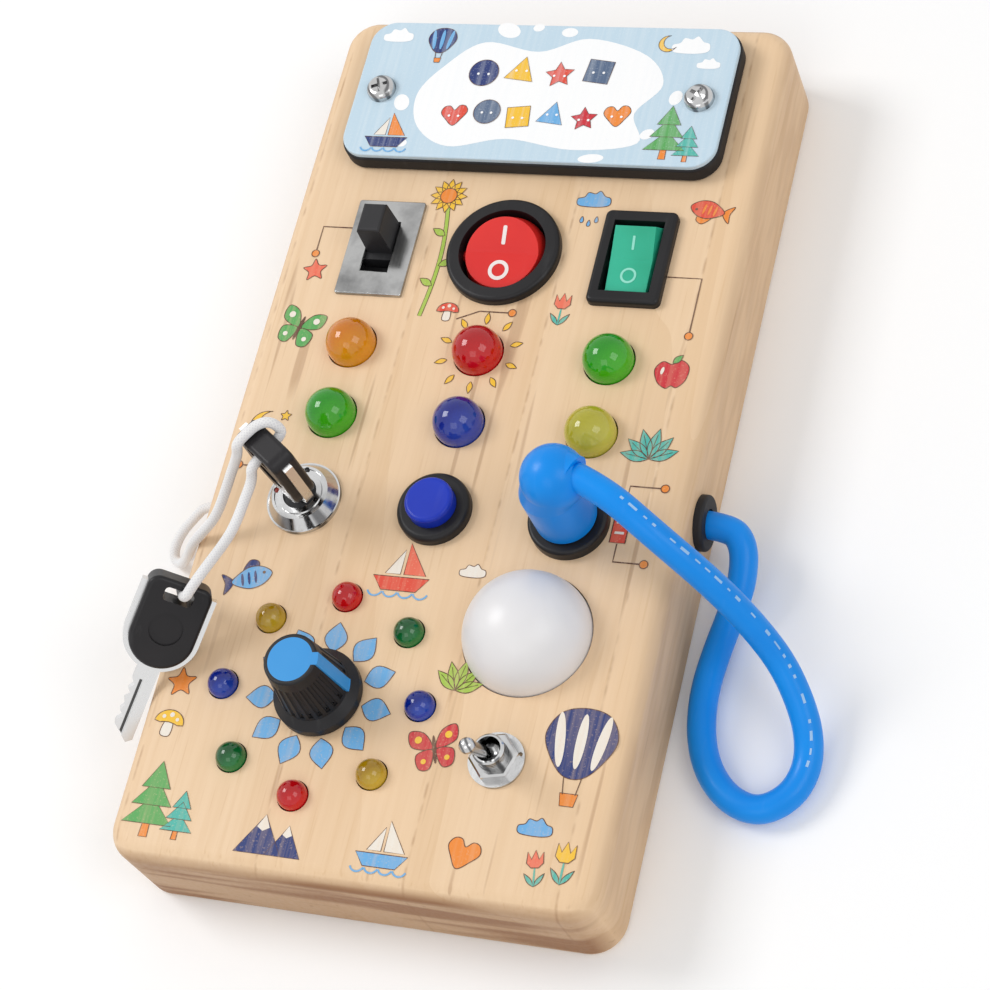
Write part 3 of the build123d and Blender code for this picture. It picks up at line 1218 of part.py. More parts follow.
# ------------------------------------------------------------------ export
os.makedirs("parts", exist_ok=True)
for name, piece in pieces.items():
    piece.part.label = name
    export_step(piece.part, f"parts/{name}.step")

print("nodes", len(pieces))
print("cable length %.1f mm, radii" % cable_length, [round(r, 1) for r in corner_radii(cable_points)])
print("cord length %.1f mm, radii" % key_cord_length, [round(r, 1) for r in corner_radii(key_cord_points)])
print("cord points", [tuple(round(c, 2) for c in point) for point in key_cord_points])
print("cable volume %.1f, section x length %.1f"
      % (blue_cable.part.volume, 3.14159 * cable_d ** 2 / 4 * cable_length))
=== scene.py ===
"""Looks of the wooden busy board: finishes, printed front, cord and cable, studio and camera."""
import functools
import logging
import math
import random
from dataclasses import dataclass, field
from enum import Enum
from typing import Callable, Sequence

import bpy
from bpy.types import Material, Node, NodeSocket, NodeTree, Object
from mathutils import Matrix, Vector
from mathutils.geometry import tessellate_polygon


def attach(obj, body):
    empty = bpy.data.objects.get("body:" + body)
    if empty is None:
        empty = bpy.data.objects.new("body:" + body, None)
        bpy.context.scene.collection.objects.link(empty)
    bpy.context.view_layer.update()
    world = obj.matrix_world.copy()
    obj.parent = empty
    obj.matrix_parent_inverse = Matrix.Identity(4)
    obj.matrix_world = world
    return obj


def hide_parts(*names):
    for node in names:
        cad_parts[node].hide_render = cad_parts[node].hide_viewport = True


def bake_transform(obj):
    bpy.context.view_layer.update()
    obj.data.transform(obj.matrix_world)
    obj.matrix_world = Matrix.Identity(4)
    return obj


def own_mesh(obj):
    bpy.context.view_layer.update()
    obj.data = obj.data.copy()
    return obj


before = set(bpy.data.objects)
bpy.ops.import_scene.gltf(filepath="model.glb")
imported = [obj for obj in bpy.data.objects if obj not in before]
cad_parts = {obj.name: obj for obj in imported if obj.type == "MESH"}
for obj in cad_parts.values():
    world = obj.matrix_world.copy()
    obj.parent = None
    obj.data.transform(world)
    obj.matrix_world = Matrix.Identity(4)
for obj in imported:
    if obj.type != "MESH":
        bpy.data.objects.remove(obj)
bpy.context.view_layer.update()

LOG = logging.getLogger("busy_board")
MM = 0.001
FULL_TURN = 2 * math.pi
Colour = tuple[float, float, float]
Point = tuple[float, float]
Space = tuple[float, float, float]
Outline = list[Point]
Face = tuple[int, ...]
Sockets = dict[str, NodeSocket]


def srgb(red: int, green: int, blue: int) -> Colour:
    """Linear colour from screen values.

    Args:
        red, green, blue: 0 to 255.
    Returns:
        The linear colour that shader sockets take.
    """
    def linear(value: int) -> float:
        """One channel, by the screen's own curve."""
        c = value / 255
        return c / 12.92 if c <= 0.04045 else ((c + 0.055) / 1.055) ** 2.4
    return linear(red), linear(green), linear(blue)


# ---------------------------------------------------------------- shader groups
class Wires:
    """Adds nodes to a shader tree and links them by short calls."""

    def __init__(self, tree: NodeTree) -> None:
        """Keeps the tree."""
        self.tree = tree

    def node(self, kind: str, **values: object) -> Node:
        """A new node.

        Args:
            kind: its type, without the ShaderNode in front.
            values: its properties by name.
        Returns:
            The node.
        """
        made = self.tree.nodes.new(f"ShaderNode{kind}")
        for key, value in values.items():
            setattr(made, key, value)
        return made

    def join(self, a: NodeSocket, b: NodeSocket) -> None:
        """Links an output to an input."""
        self.tree.links.new(a, b)

    def feed(self, value: object, socket: NodeSocket) -> None:
        """Links an output to an input, or sets the input to a number, a vector or a colour.

        Args:
            value: what goes in.
            socket: the input.
        """
        if isinstance(value, NodeSocket):
            self.join(value, socket)
        elif socket.type == "RGBA":
            socket.default_value = (*value, 1.0)
        else:
            socket.default_value = value

    def maths(self, operation: str, a: object, b: object = 0.0) -> NodeSocket:
        """A math node on sockets or numbers.

        Args:
            operation: the math node's own word for it, such as ADD.
            a, b: sockets or numbers.
        Returns:
            The result's socket.
        """
        made = self.node("Math", operation=operation)
        self.feed(a, made.inputs[0])
        self.feed(b, made.inputs[1])
        return made.outputs[0]

    def plus(self, a: object, b: object) -> NodeSocket:
        """The sum of two sockets or numbers."""
        return self.maths("ADD", a, b)

    def times(self, a: object, b: object) -> NodeSocket:
        """The product of two sockets or numbers."""
        return self.maths("MULTIPLY", a, b)

    def size_of(self, value: NodeSocket) -> NodeSocket:
        """A value without its sign."""
        return self.maths("ABSOLUTE", value)

    def mix(self, factor: object, a: object, b: object) -> NodeSocket:
        """A colour mix.

        Args:
            factor: socket or number.
            a, b: sockets or colours.
        Returns:
            The mixed colour's socket.
        """
        made = self.node("Mix", data_type="RGBA")
        for k, value in ((0, factor), (6, a), (7, b)):
            self.feed(value, made.inputs[k])
        return made.outputs[2]

    def remap(self, value: NodeSocket, low: float, high: float, to_low: float = 0.0,
              to_high: float = 1.0) -> NodeSocket:
        """A clamped map from one range to another.

        Args:
            value: the socket to map.
            low, high: its range.
            to_low, to_high: the new range.
        Returns:
            The mapped value's socket.
        """
        made = self.node("MapRange")
        for k, end in enumerate((value, low, high, to_low, to_high)):
            self.feed(end, made.inputs[k])
        return made.outputs[0]

    def place(self, kind: str = "Object") -> NodeSocket:
        """Where a point of the surface is, by the name of a texture coordinate."""
        return self.node("TexCoord").outputs[kind]

    def facing(self) -> NodeSocket:
        """Which way the surface faces."""
        return self.node("NewGeometry").outputs["Normal"]

    def axes(self, vector: NodeSocket) -> tuple[NodeSocket, NodeSocket, NodeSocket]:
        """The three parts of a vector.

        Args:
            vector: the vector's socket.
        Returns:
            The sockets of its parts.
        """
        parts = self.node("SeparateXYZ")
        self.join(vector, parts.inputs[0])
        return parts.outputs[0], parts.outputs[1], parts.outputs[2]

    def stretched(self, vector: NodeSocket, scale: Space, turn: Space = (0, 0, 0)) -> NodeSocket:
        """A place, scaled and turned.

        Args:
            vector: the place.
            scale: the scale along each axis.
            turn: the turn about each axis, in radians.
        Returns:
            The new place's socket.
        """
        made = self.node("Mapping")
        made.inputs["Scale"].default_value = scale
        made.inputs["Rotation"].default_value = turn
        self.join(vector, made.inputs["Vector"])
        return made.outputs[0]

    def noise(self, scale: object, stretch: Space = (1, 1, 1), detail: float = 3.0) -> NodeSocket:
        """Noise over the piece's own coordinates.

        Args:
            scale: socket or number, in cells a metre.
            stretch: the scale along each axis.
            detail: octaves.
        Returns:
            The noise value's socket.
        """
        made = self.node("TexNoise")
        made.inputs["Detail"].default_value = detail
        made.inputs["Roughness"].default_value = 0.55
        self.join(self.stretched(self.place(), stretch), made.inputs["Vector"])
        self.feed(scale, made.inputs["Scale"])
        return made.outputs[0]


def shader_group(colours: Sequence[str], numbers: Sequence[str] = ()
                 ) -> Callable[[Callable[[Wires, Sockets], Sockets]], Callable[[], NodeTree]]:
    """Makes a shader group of a function that wires it.

    Args:
        colours, numbers: the names of the group's inputs.
    Returns:
        The decorator. What it decorates gives the group, built at the first call.
    """
    def decorate(wire: Callable[[Wires, Sockets], Sockets]) -> Callable[[], NodeTree]:
        """Wraps the function.

        Args:
            wire: the function, which joins a group's inputs to its outputs.
        Returns:
            A function that makes the group once and gives it back.
        """
        @functools.cache
        def group() -> NodeTree:
            """The group."""
            tree = bpy.data.node_groups.new(wire.__name__, "ShaderNodeTree")
            for names, kind in ((colours, "NodeSocketColor"), (numbers, "NodeSocketFloat")):
                for name in names:
                    tree.interface.new_socket(name, in_out="INPUT", socket_type=kind)
            w = Wires(tree)
            result = wire(w, {socket.name: socket for socket in tree.nodes.new("NodeGroupInput").outputs})
            for name in result:
                kind = "NodeSocketColor" if name == "Color" else "NodeSocketFloat"
                tree.interface.new_socket(name, in_out="OUTPUT", socket_type=kind)
            out = tree.nodes.new("NodeGroupOutput")
            for name, socket in result.items():
                w.join(socket, out.inputs[name])
            return tree
        return group
    return decorate


@shader_group(("Light", "Dark", "Warm", "Deep"), ("Band Scale", "Band", "Fibre"))
def wood_grain(w: Wires, given: Sockets) -> Sockets:
    """Glued strips, growth bands, fibres and dark streaks along the board; its end faces darker, partly as
    end grain and partly as painted shade, and its side faces darker as painted shade.

    Args:
        w: the group's wires.
        given: its inputs by name.
    Returns:
        Its outputs by name.
    """
    strip_width, first_seam = 0.0285, 0.579
    strip_shift = (0.013, 0.31)
    across = w.plus(w.times(w.axes(w.place())[0], 1 / strip_width), first_seam)
    strip = w.maths("FLOOR", across)
    inside = w.maths("FRACT", across)
    shade = w.node("TexWhiteNoise", noise_dimensions="1D")
    w.join(strip, shade.inputs["W"])
    shift = w.node("CombineXYZ")
    for k, step in enumerate(strip_shift):
        w.join(w.times(strip, step), shift.inputs[k])
    moved = w.node("VectorMath", operation="ADD")
    w.join(w.place(), moved.inputs[0])
    w.join(shift.outputs[0], moved.inputs[1])

    bands = w.node("TexWave", bands_direction="DIAGONAL", wave_profile="SAW")
    band_shape = {"Distortion": 5.5, "Detail": 2.0, "Detail Scale": 1.2, "Detail Roughness": 0.5}
    for key, value in band_shape.items():
        bands.inputs[key].default_value = value
    w.join(w.stretched(moved.outputs[0], (1.0, 0.10, 1.9), (0.0, 0.0, 0.03)), bands.inputs["Vector"])
    w.join(given["Band Scale"], bands.inputs["Scale"])
    wide = w.noise(26.0, (1.0, 0.12, 1.0), detail=2.0)
    ring = w.maths("POWER", w.remap(bands.outputs["Fac"], 0.30, 1.0), 1.8)
    ring = w.times(ring, w.remap(wide, 0.35, 0.68, 0.2, 1.0))
    fibre = w.remap(w.noise(950.0, (1.0, 0.022, 1.0)), 0.38, 0.72)
    pores = w.remap(w.noise(1500.0, (1.0, 0.035, 1.0), detail=1.0), 0.64, 0.72)
    streak = w.remap(w.noise(420.0, (1.0, 0.05, 1.0), detail=1.0), 0.70, 0.76)
    seam = w.remap(w.size_of(w.maths("SUBTRACT", inside, 0.5)), 0.486, 0.498)
    seam = w.times(seam, w.remap(w.noise(210.0, (0.02, 1.0, 0.02), detail=2.0), 0.45, 0.62))

    colour = w.mix(w.times(ring, given["Band"]), given["Light"], given["Dark"])
    colour = w.mix(w.times(fibre, given["Fibre"]), colour, given["Dark"])
    colour = w.mix(w.times(pores, 0.30), colour, given["Dark"])
    colour = w.mix(w.times(w.remap(wide, 0.3, 0.7), 0.35), colour, given["Warm"])
    colour = w.mix(w.times(shade.outputs["Value"], 0.30), colour, given["Warm"])
    colour = w.mix(w.times(w.maths("MAXIMUM", streak, seam), 0.38), colour, given["Deep"])

    # Painted shade: side faces darker by the way they face; end faces darker in layered lines, partly end
    # grain and partly painted shade.
    to_side, to_end, _ = w.axes(w.facing())
    end = w.remap(w.size_of(to_end), 0.55, 0.95)
    side_painted_shade = w.remap(w.size_of(to_side), 0.55, 0.95)
    layers = w.remap(w.noise(60.0, (0.30, 1.0, 4.2), detail=2.0), 0.42, 0.58)
    end_grain_and_painted_shade = w.plus(w.times(layers, 0.42), 0.58)
    colour = w.mix(w.times(w.plus(end, w.times(side_painted_shade, 0.30)), end_grain_and_painted_shade), colour, given["Deep"])
    return {"Color": colour, "Roughness": w.remap(fibre, 0.0, 1.0, 0.50, 0.64),
            "Height": w.plus(w.times(fibre, 0.6), w.times(ring, 0.4))}


@shader_group(("Color", "Second"), ("Roughness", "Grain Scale", "Scuffs"))
def moulded_skin(w: Wires, given: Sockets) -> Sockets:
    """Fine grain, slow shade change and sparse scuffs of a moulded plastic.

    Args:
        w: the group's wires.
        given: its inputs by name.
    Returns:
        Its outputs by name.
    """
    pale_scuff = (0.75, 0.75, 0.75)
    slow = w.noise(60.0, detail=2.0)
    scuff = w.remap(w.noise(420.0, (1.0, 0.18, 0.5), detail=4.0), 0.60, 0.78)
    scuff = w.times(scuff, given["Scuffs"])
    colour = w.mix(w.remap(slow, 0.3, 0.7), given["Color"], given["Second"])
    rough = w.plus(given["Roughness"], w.times(scuff, 0.25))
    return {"Color": w.mix(w.times(scuff, 0.35), colour, pale_scuff),
            "Roughness": w.plus(rough, w.remap(slow, 0.3, 0.7, -0.03, 0.03)),
            "Height": w.noise(given["Grain Scale"], detail=2.0)}


@shader_group(("Color", "Second"), ("Roughness", "Line Scale", "Smudge", "Streak"))
def worked_metal(w: Wires, given: Sockets) -> Sockets:
    """Tool lines, smudges, and dark bands of painted reflection that follow the way a plated face is turned.

    Args:
        w: the group's wires.
        given: its inputs by name.
    Returns:
        Its outputs by name.
    """
    reflection_bands_aside, reflection_bands_ahead = 6.5, 4.5
    lines = w.noise(given["Line Scale"], (1.0, 0.06, 1.0))
    smudge = w.remap(w.noise(130.0, detail=4.0), 0.42, 0.72)
    # Painted reflection: dark bands by the way the face is turned, standing in for the studio's reflection on
    # plated metal.
    aside, ahead, _ = w.axes(w.facing())
    wave = w.maths("SINE", w.plus(w.times(aside, reflection_bands_aside), w.times(ahead, reflection_bands_ahead)))
    streak = w.times(w.remap(wave, 0.0, 0.8), given["Streak"])
    mask = w.maths("MAXIMUM", w.times(smudge, given["Smudge"]), streak)
    rough = w.plus(given["Roughness"], w.remap(lines, 0.3, 0.7, -0.03, 0.05))
    return {"Color": w.mix(mask, given["Color"], given["Second"]),
            "Roughness": w.plus(rough, w.times(smudge, 0.08)), "Height": lines}


@shader_group(("Color", "Core", "Glow"))
def dome_depth(w: Wires, given: Sockets) -> Sockets:
    """Painted shade and painted light on a tinted dome: darker where it faces up and is looked down into,
    lighter towards one side.

    Args:
        w: the group's wires.
        given: its inputs by name.
    Returns:
        Its outputs by name.
    """
    # Painted shade and painted light by the way the face is turned: darker on top, lighter towards one side.
    aside, ahead, above = w.axes(w.facing())
    top = w.remap(above, 0.25, 1.0)
    side = w.remap(w.plus(aside, w.times(ahead, -1.0)), 0.1, 1.2)
    swirl = w.noise(160.0, detail=2.0)
    colour = w.mix(w.times(top, 0.55), given["Color"], given["Core"])
    return {"Color": w.mix(w.times(side, w.remap(swirl, 0.2, 0.8, 0.45, 0.75)), colour, given["Glow"]),
            "Roughness": w.remap(swirl, 0.3, 0.7, 0.05, 0.12)}


@shader_group(("Color", "Under"), ("Show",))
def ink_film(w: Wires, given: Sockets) -> Sockets:
    """Ink that lets a little of the fibre below show through.

    Args:
        w: the group's wires.
        given: its inputs by name.
    Returns:
        Its outputs by name.
    """
    fibre = w.remap(w.noise(1100.0, (1.0, 0.03, 1.0)), 0.42, 0.70)
    speck = w.remap(w.noise(2600.0, detail=1.0), 0.62, 0.70)
    colour = w.mix(w.times(fibre, given["Show"]), given["Color"], given["Under"])
    return {"Color": w.mix(w.times(speck, 0.2), colour, given["Under"]),
            "Roughness": w.remap(fibre, 0.0, 1.0, 0.44, 0.58), "Height": fibre}


@shader_group(("Color", "Shade"))
def braid(w: Wires, given: Sockets) -> Sockets:
    """Crossing strands round a cord, from its own around-and-along coordinates, with painted shade in the
    hollows between the strands.

    Args:
        w: the group's wires.
        given: its inputs by name.
    Returns:
        Its outputs by name.
    """
    strands, crossings_a_metre = 8.0, 1500.0
    round_it, along_it, _ = w.axes(w.place("UV"))
    around = w.times(round_it, strands * FULL_TURN)
    onward = w.times(along_it, crossings_a_metre * FULL_TURN)
    strand = w.maths("MAXIMUM", w.maths("SINE", w.plus(around, onward)),
                     w.maths("SINE", w.maths("SUBTRACT", around, onward)))
    fuzz = w.noise(3000.0, detail=2.0)
    # Painted shade: the Shade colour lies in the hollows between the strands.
    return {"Color": w.mix(w.remap(strand, -0.5, 1.0), given["Shade"], given["Color"]),
            "Roughness": w.remap(fuzz, 0.3, 0.7, 0.75, 0.92), "Height": strand}


# ---------------------------------------------------------------- finishes
def blank(name: str) -> tuple[Wires, Node, Material]:
    """A new material with a plain Principled shader.

    Args:
        name: the material's name.
    Returns:
        Its wires, its shader and the material.
    """
    made = bpy.data.materials.new(name)
    made.use_nodes = True
    return Wires(made.node_tree), made.node_tree.nodes["Principled BSDF"], made


def surface(name: str, group: NodeTree, inputs: dict[str, object], sockets: dict[str, object],
            relief: tuple[float, float] | None = None) -> Material:
    """A material whose shader is fed by one group.

    Args:
        name: the material's name.
        group: the shader group.
        inputs: the group's values by input.
        sockets: the shader's constants by socket.
        relief: strength and depth in metres of the group's height, where it has one.
    Returns:
        The material.
    """
    w, shader, made = blank(name)
    skin = w.node("Group")
    skin.node_tree = group
    for key, value in inputs.items():
        w.feed(value, skin.inputs[key])
    w.join(skin.outputs["Color"], shader.inputs["Base Color"])
    w.join(skin.outputs["Roughness"], shader.inputs["Roughness"])
    for key, value in sockets.items():
        shader.inputs[key].default_value = value
    if relief:
        bump = w.node("Bump")
        bump.inputs["Strength"].default_value, bump.inputs["Distance"].default_value = relief
        w.join(skin.outputs["Height"], bump.inputs["Height"])
        w.join(bump.outputs[0], shader.inputs["Normal"])
    return made


def scatter(weight: float, reach: float) -> dict[str, object]:
    """Shader constants of a plastic that light goes into.

    Args:
        weight: how much of the light.
        reach: how far, in metres.
    Returns:
        The constants by socket.
    """
    return {"Subsurface Weight": weight, "Subsurface Radius": (1.0, 1.0, 1.0), "Subsurface Scale": reach}


@dataclass(frozen=True)
class Timber:
    """Bare or thinly lacquered wood."""
    name: str
    light: Colour
    dark: Colour
    warm: Colour
    deep: Colour
    band_scale: float
    fibre: float
    band: float = 0.5
    coat: float = 0.0
    coat_rough: float = 0.35
    gloss: float = 0.25
    relief: tuple[float, float] = (0.25, 0.00006)

    def material(self) -> Material:
        """The shader of this wood."""
        return surface(self.name, wood_grain(),
                       {"Light": self.light, "Dark": self.dark, "Warm": self.warm, "Deep": self.deep,
                        "Band Scale": self.band_scale, "Band": self.band, "Fibre": self.fibre},
                       {"Coat Weight": self.coat, "Coat Roughness": self.coat_rough,
                        "Specular IOR Level": self.gloss}, self.relief)


@dataclass(frozen=True)
class Moulding:
    """Moulded plastic or rubber."""
    name: str
    colour: Colour
    second: Colour
    rough: float
    grain: float = 2500.0
    bump: float = 0.05
    scuffs: float = 0.0
    coat: float = 0.0
    inner: float = 0.0
    gloss: float = 0.25
    coat_rough: float = 0.08
    inner_reach: float = 0.002
    grain_depth: float = 0.00005

    def material(self) -> Material:
        """The shader of this plastic."""
        sockets = {"Coat Weight": self.coat, "Coat Roughness": self.coat_rough,
                   "Specular IOR Level": self.gloss}
        if self.inner:
            sockets |= scatter(self.inner, self.inner_reach)
        return surface(self.name, moulded_skin(),
                       {"Color": self.colour, "Second": self.second, "Roughness": self.rough,
                        "Grain Scale": self.grain, "Scuffs": self.scuffs},
                       sockets, (self.bump, self.grain_depth))


@dataclass(frozen=True)
class Metal:
    """Plated or brushed metal."""
    name: str
    colour: Colour
    second: Colour
    rough: float
    lines: float
    bump: float
    smudge: float
    # painted reflection: how strongly the dark bands set by face direction show
    streak: float = 0.0
    line_depth: float = 0.00004

    def material(self) -> Material:
        """The shader of this metal."""
        return surface(self.name, worked_metal(),
                       {"Color": self.colour, "Second": self.second, "Roughness": self.rough,
                        "Line Scale": self.lines, "Smudge": self.smudge, "Streak": self.streak},
                       {"Metallic": 1.0}, (self.bump, self.line_depth))


@dataclass(frozen=True)
class Lens:
    """Tinted lamp dome."""
    name: str
    colour: Colour
    # The second colour is painted shade on the dome's top, the third painted light towards one side.
    core: Colour
    glow: Colour
    coat: float = 0.85
    coat_rough: float = 0.03
    gloss: float = 0.1
    inner: float = 0.25
    inner_reach: float = 0.0015

    def material(self) -> Material:
        """The shader of this dome."""
        sockets = {"Coat Weight": self.coat, "Coat Roughness": self.coat_rough,
                   "Specular IOR Level": self.gloss}
        return surface(self.name, dome_depth(), {"Color": self.colour, "Core": self.core, "Glow": self.glow},
                       sockets | scatter(self.inner, self.inner_reach))


@dataclass(frozen=True)
class Print:
    """Ink on wood or on the name plate."""
    name: str
    colour: Colour
    under: Colour
    show: float = 0.22
    gloss: float = 0.2
    relief: tuple[float, float] = (0.12, 0.00004)

    def material(self) -> Material:
        """The shader of this ink."""
        return surface(self.name, ink_film(), {"Color": self.colour, "Under": self.under, "Show": self.show},
                       {"Specular IOR Level": self.gloss}, self.relief)


@dataclass(frozen=True)
class Cording:
    """Braided cord."""
    name: str
    colour: Colour
    # shade: painted shade in the hollows between the strands
    shade: Colour
    sheen: float = 0.3
    relief: tuple[float, float] = (0.14, 0.00005)

    def material(self) -> Material:
        """The shader of this cord."""
        return surface(self.name, braid(), {"Color": self.colour, "Shade": self.shade},
                       {"Sheen Weight": self.sheen}, self.relief)


@dataclass(frozen=True)
class CellWrap:
    """Battery sleeve: dark with a metallic band at one end."""
    name: str
    sleeve: Colour
    band: Colour
    band_from: float
    band_edge: float = 0.0002

    def material(self) -> Material:
        """The shader of this sleeve."""
        w, shader, made = blank(self.name)
        mask = w.remap(w.axes(w.place())[0], self.band_from, self.band_from + self.band_edge)
        w.join(w.mix(mask, self.sleeve, self.band), shader.inputs["Base Color"])
        w.join(w.remap(w.noise(200.0), 0.3, 0.7, 0.2, 0.35), shader.inputs["Roughness"])
        w.join(w.times(mask, 0.9), shader.inputs["Metallic"])
        return made


PINE_LIGHT = srgb(239, 209, 174)
# WOOD_DEEP: the wood's dark streaks and seams, and the painted shade on its side and end faces.
WOOD_DEEP = srgb(152, 108, 72)


class Finish(Enum):
    """Every finish on the board, by what wears it."""
    PINE = Timber("pine", PINE_LIGHT, srgb(211, 172, 126), srgb(232, 196, 154), WOOD_DEEP,
                  band_scale=22.0, fibre=0.22, coat=0.10)
    PLYWOOD = Timber("plywood", srgb(222, 190, 150), srgb(182, 142, 98), srgb(212, 176, 132), WOOD_DEEP,
                     band_scale=34.0, fibre=0.3)
    BLACK_SATIN = Moulding("black_satin_plastic", srgb(24, 23, 25), srgb(33, 32, 34), 0.38, 2200.0,
                           bump=0.12, scuffs=0.06)
    BLACK_MATTE = Moulding("black_matte_plastic", srgb(30, 30, 32), srgb(40, 39, 41), 0.55, 1500.0,
                           bump=0.3, scuffs=0.10)
    BLACK_GRIP = Moulding("key_grip_plastic", srgb(30, 29, 31), srgb(40, 38, 40), 0.36, 1800.0,
                          bump=0.10, scuffs=0.06)
    SIGN_EDGE = Moulding("sign_base_board", srgb(26, 25, 27), srgb(38, 36, 37), 0.6, 1300.0,
                         bump=0.3, scuffs=0.06)
    SIGN_BLUE = Print("sign_blue", srgb(196, 218, 232), srgb(228, 238, 244), 0.25)
    CHROME = Metal("chrome", (0.62, 0.62, 0.62), (0.10, 0.10, 0.105), 0.12, 1500.0,
                   bump=0.04, smudge=0.35, streak=0.85)
    PLATE_CHROME = Metal("plate_chrome", (0.46, 0.46, 0.455), (0.16, 0.16, 0.16), 0.16, 2400.0,
                         bump=0.05, smudge=0.85)
    KEY_STEEL = Metal("key_steel", (0.78, 0.78, 0.78), (0.44, 0.44, 0.44), 0.26, 900.0,
                      bump=0.02, smudge=0.35, streak=0.5)
    SCREW_STEEL = Metal("screw_steel", (0.55, 0.55, 0.55), (0.24, 0.24, 0.245), 0.22, 2000.0,
                        bump=0.05, smudge=0.5, streak=0.5)
    SPRING_STEEL = Metal("spring_steel", (0.50, 0.50, 0.51), (0.34, 0.34, 0.35), 0.28, 2000.0,
                         bump=0.06, smudge=0.4, streak=0.3)
    BRASS = Metal("brass", (0.70, 0.52, 0.24), (0.50, 0.36, 0.16), 0.26, 2000.0,
                  bump=0.06, smudge=0.4, streak=0.2)
    KNOB_BLACK = Moulding("knob_black", srgb(27, 27, 29), srgb(36, 35, 38), 0.42, 2200.0,
                          bump=0.15, scuffs=0.06)
    SLIDE_GREY = Moulding("slide_grey", srgb(36, 36, 38), srgb(50, 49, 51), 0.45, 1900.0,
                          bump=0.2, scuffs=0.12)
    SKY_BLUE = Moulding("sky_blue_plastic", srgb(60, 152, 220), srgb(50, 142, 212), 0.38, 2400.0,
                        bump=0.1, scuffs=0.05)
    BUTTON_BLUE = Moulding("button_blue_plastic", srgb(20, 56, 190), srgb(16, 46, 172), 0.36, 2400.0,
                           bump=0.06, scuffs=0.04, coat=0.1)
    PLUG_BLUE = Moulding("plug_blue_rubber", srgb(0, 144, 238), srgb(0, 132, 226), 0.36, 2200.0,
                         bump=0.10, scuffs=0.05, coat=0.08)
    JACKET_BLUE = Moulding("cable_jacket", srgb(0, 145, 240), srgb(0, 135, 230), 0.38, 2400.0,
                           bump=0.10, scuffs=0.06, coat=0.08)
    ROCKER_RED = Moulding("rocker_red", srgb(230, 46, 38), srgb(216, 34, 32), 0.36,
                          bump=0.04, scuffs=0.03, coat=0.12, inner=0.2)
    ROCKER_GREEN = Moulding("rocker_green", srgb(52, 184, 150), srgb(34, 162, 126), 0.34,
                            bump=0.04, scuffs=0.03, coat=0.15, inner=0.2)
    MARK_WHITE = Moulding("mark_white", srgb(244, 236, 232), srgb(238, 228, 224), 0.4)
    MARK_MINT = Moulding("mark_mint", srgb(150, 226, 206), srgb(140, 218, 196), 0.4)
    MARK_PALE = Moulding("mark_pale", srgb(170, 206, 240), srgb(140, 188, 234), 0.4)
    # Lens colours: own tint, then painted shade on top, then painted light towards one side.
    LENS_ORANGE = Lens("lens_orange", srgb(212, 128, 0), srgb(190, 104, 0), srgb(238, 166, 30))
    LENS_RED = Lens("lens_red", srgb(190, 0, 12), srgb(158, 0, 6), srgb(220, 16, 22))
    LENS_GREEN = Lens("lens_green", srgb(34, 156, 6), srgb(16, 128, 0), srgb(84, 196, 34))
    LENS_BLUE = Lens("lens_blue", srgb(22, 38, 142), srgb(10, 22, 112), srgb(56, 84, 190))
    LENS_YELLOW = Lens("lens_yellow", srgb(186, 178, 48), srgb(166, 158, 34), srgb(216, 208, 88))
    LENS_GOLD = Lens("lens_gold", srgb(172, 134, 6), srgb(138, 102, 0), srgb(214, 182, 56))
    LENS_DEEP_GREEN = Lens("lens_deep_green", srgb(0, 92, 38), srgb(0, 64, 22), srgb(34, 134, 66))
    LENS_DEEP_BLUE = Lens("lens_deep_blue", srgb(2, 34, 142), srgb(0, 16, 104), srgb(44, 84, 200))
    LENS_MILK = Moulding("lens_milk", srgb(238, 236, 236), srgb(230, 228, 229), 0.32, 2400.0,
                         bump=0.03, inner=0.3, gloss=0.4)
    CIRCUIT = Moulding("circuit_board", srgb(20, 110, 60), srgb(14, 92, 48), 0.3, 900.0,
                       bump=0.2, scuffs=0.1, coat=0.4)
    NYLON = Moulding("nylon", srgb(232, 230, 222), srgb(222, 220, 210), 0.5, 1800.0,
                     bump=0.1, scuffs=0.05)
    WIRE_RED = Moulding("wire_jacket", srgb(176, 30, 30), srgb(150, 22, 24), 0.4, 2000.0,
                        bump=0.1, scuffs=0.05)
    CORD = Cording("white_cord", srgb(242, 241, 240), srgb(226, 225, 227))
    CELLS = CellWrap("cell_wrap", srgb(30, 32, 36), (0.72, 0.45, 0.20), band_from=0.012)
    # Painted shade: a dark sheet laid on a key groove's floor.
    GROOVE_STEEL = Metal("groove_steel", (0.10, 0.10, 0.10), (0.05, 0.05, 0.05), 0.45, 900.0,
                         bump=0.02, smudge=0.4)
    DOT_RED = Moulding("index_red", srgb(150, 52, 40), srgb(140, 44, 34), 0.35)


@functools.cache
def finish(which: Finish) -> Material:
    """The material of a finish, made at its first use."""
    return which.value.material()


def dress(node: str, which: Finish) -> None:
    """Gives a CAD node its finish.

    Args:
        node: the node's name.
        which: the finish.
    """
    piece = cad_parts[node]
    if not piece.material_slots:
        piece.data.materials.append(None)
    for place in piece.material_slots:
        place.material = finish(which)


def add_piece(name: str, vertices: Sequence[Vector], faces: Sequence[Face], material: Material,
              rounded: bool = False) -> Object:
    """A mesh piece in the scene.

    Args:
        name: the piece's name.
        vertices, faces: its mesh, in metres.
        material: its finish.
        rounded: whether its faces are shaded smooth.
    Returns:
        The new object, which rides on nothing yet.
    """
    mesh = bpy.data.meshes.new(name)
    mesh.from_pydata([tuple(v) for v in vertices], [], [tuple(f) for f in faces])
    mesh.validate()
    mesh.materials.append(material)
    mesh.polygons.foreach_set("use_smooth", [rounded] * len(mesh.polygons))
    made = bpy.data.objects.new(name, mesh)
    bpy.context.scene.collection.objects.link(made)
    return made


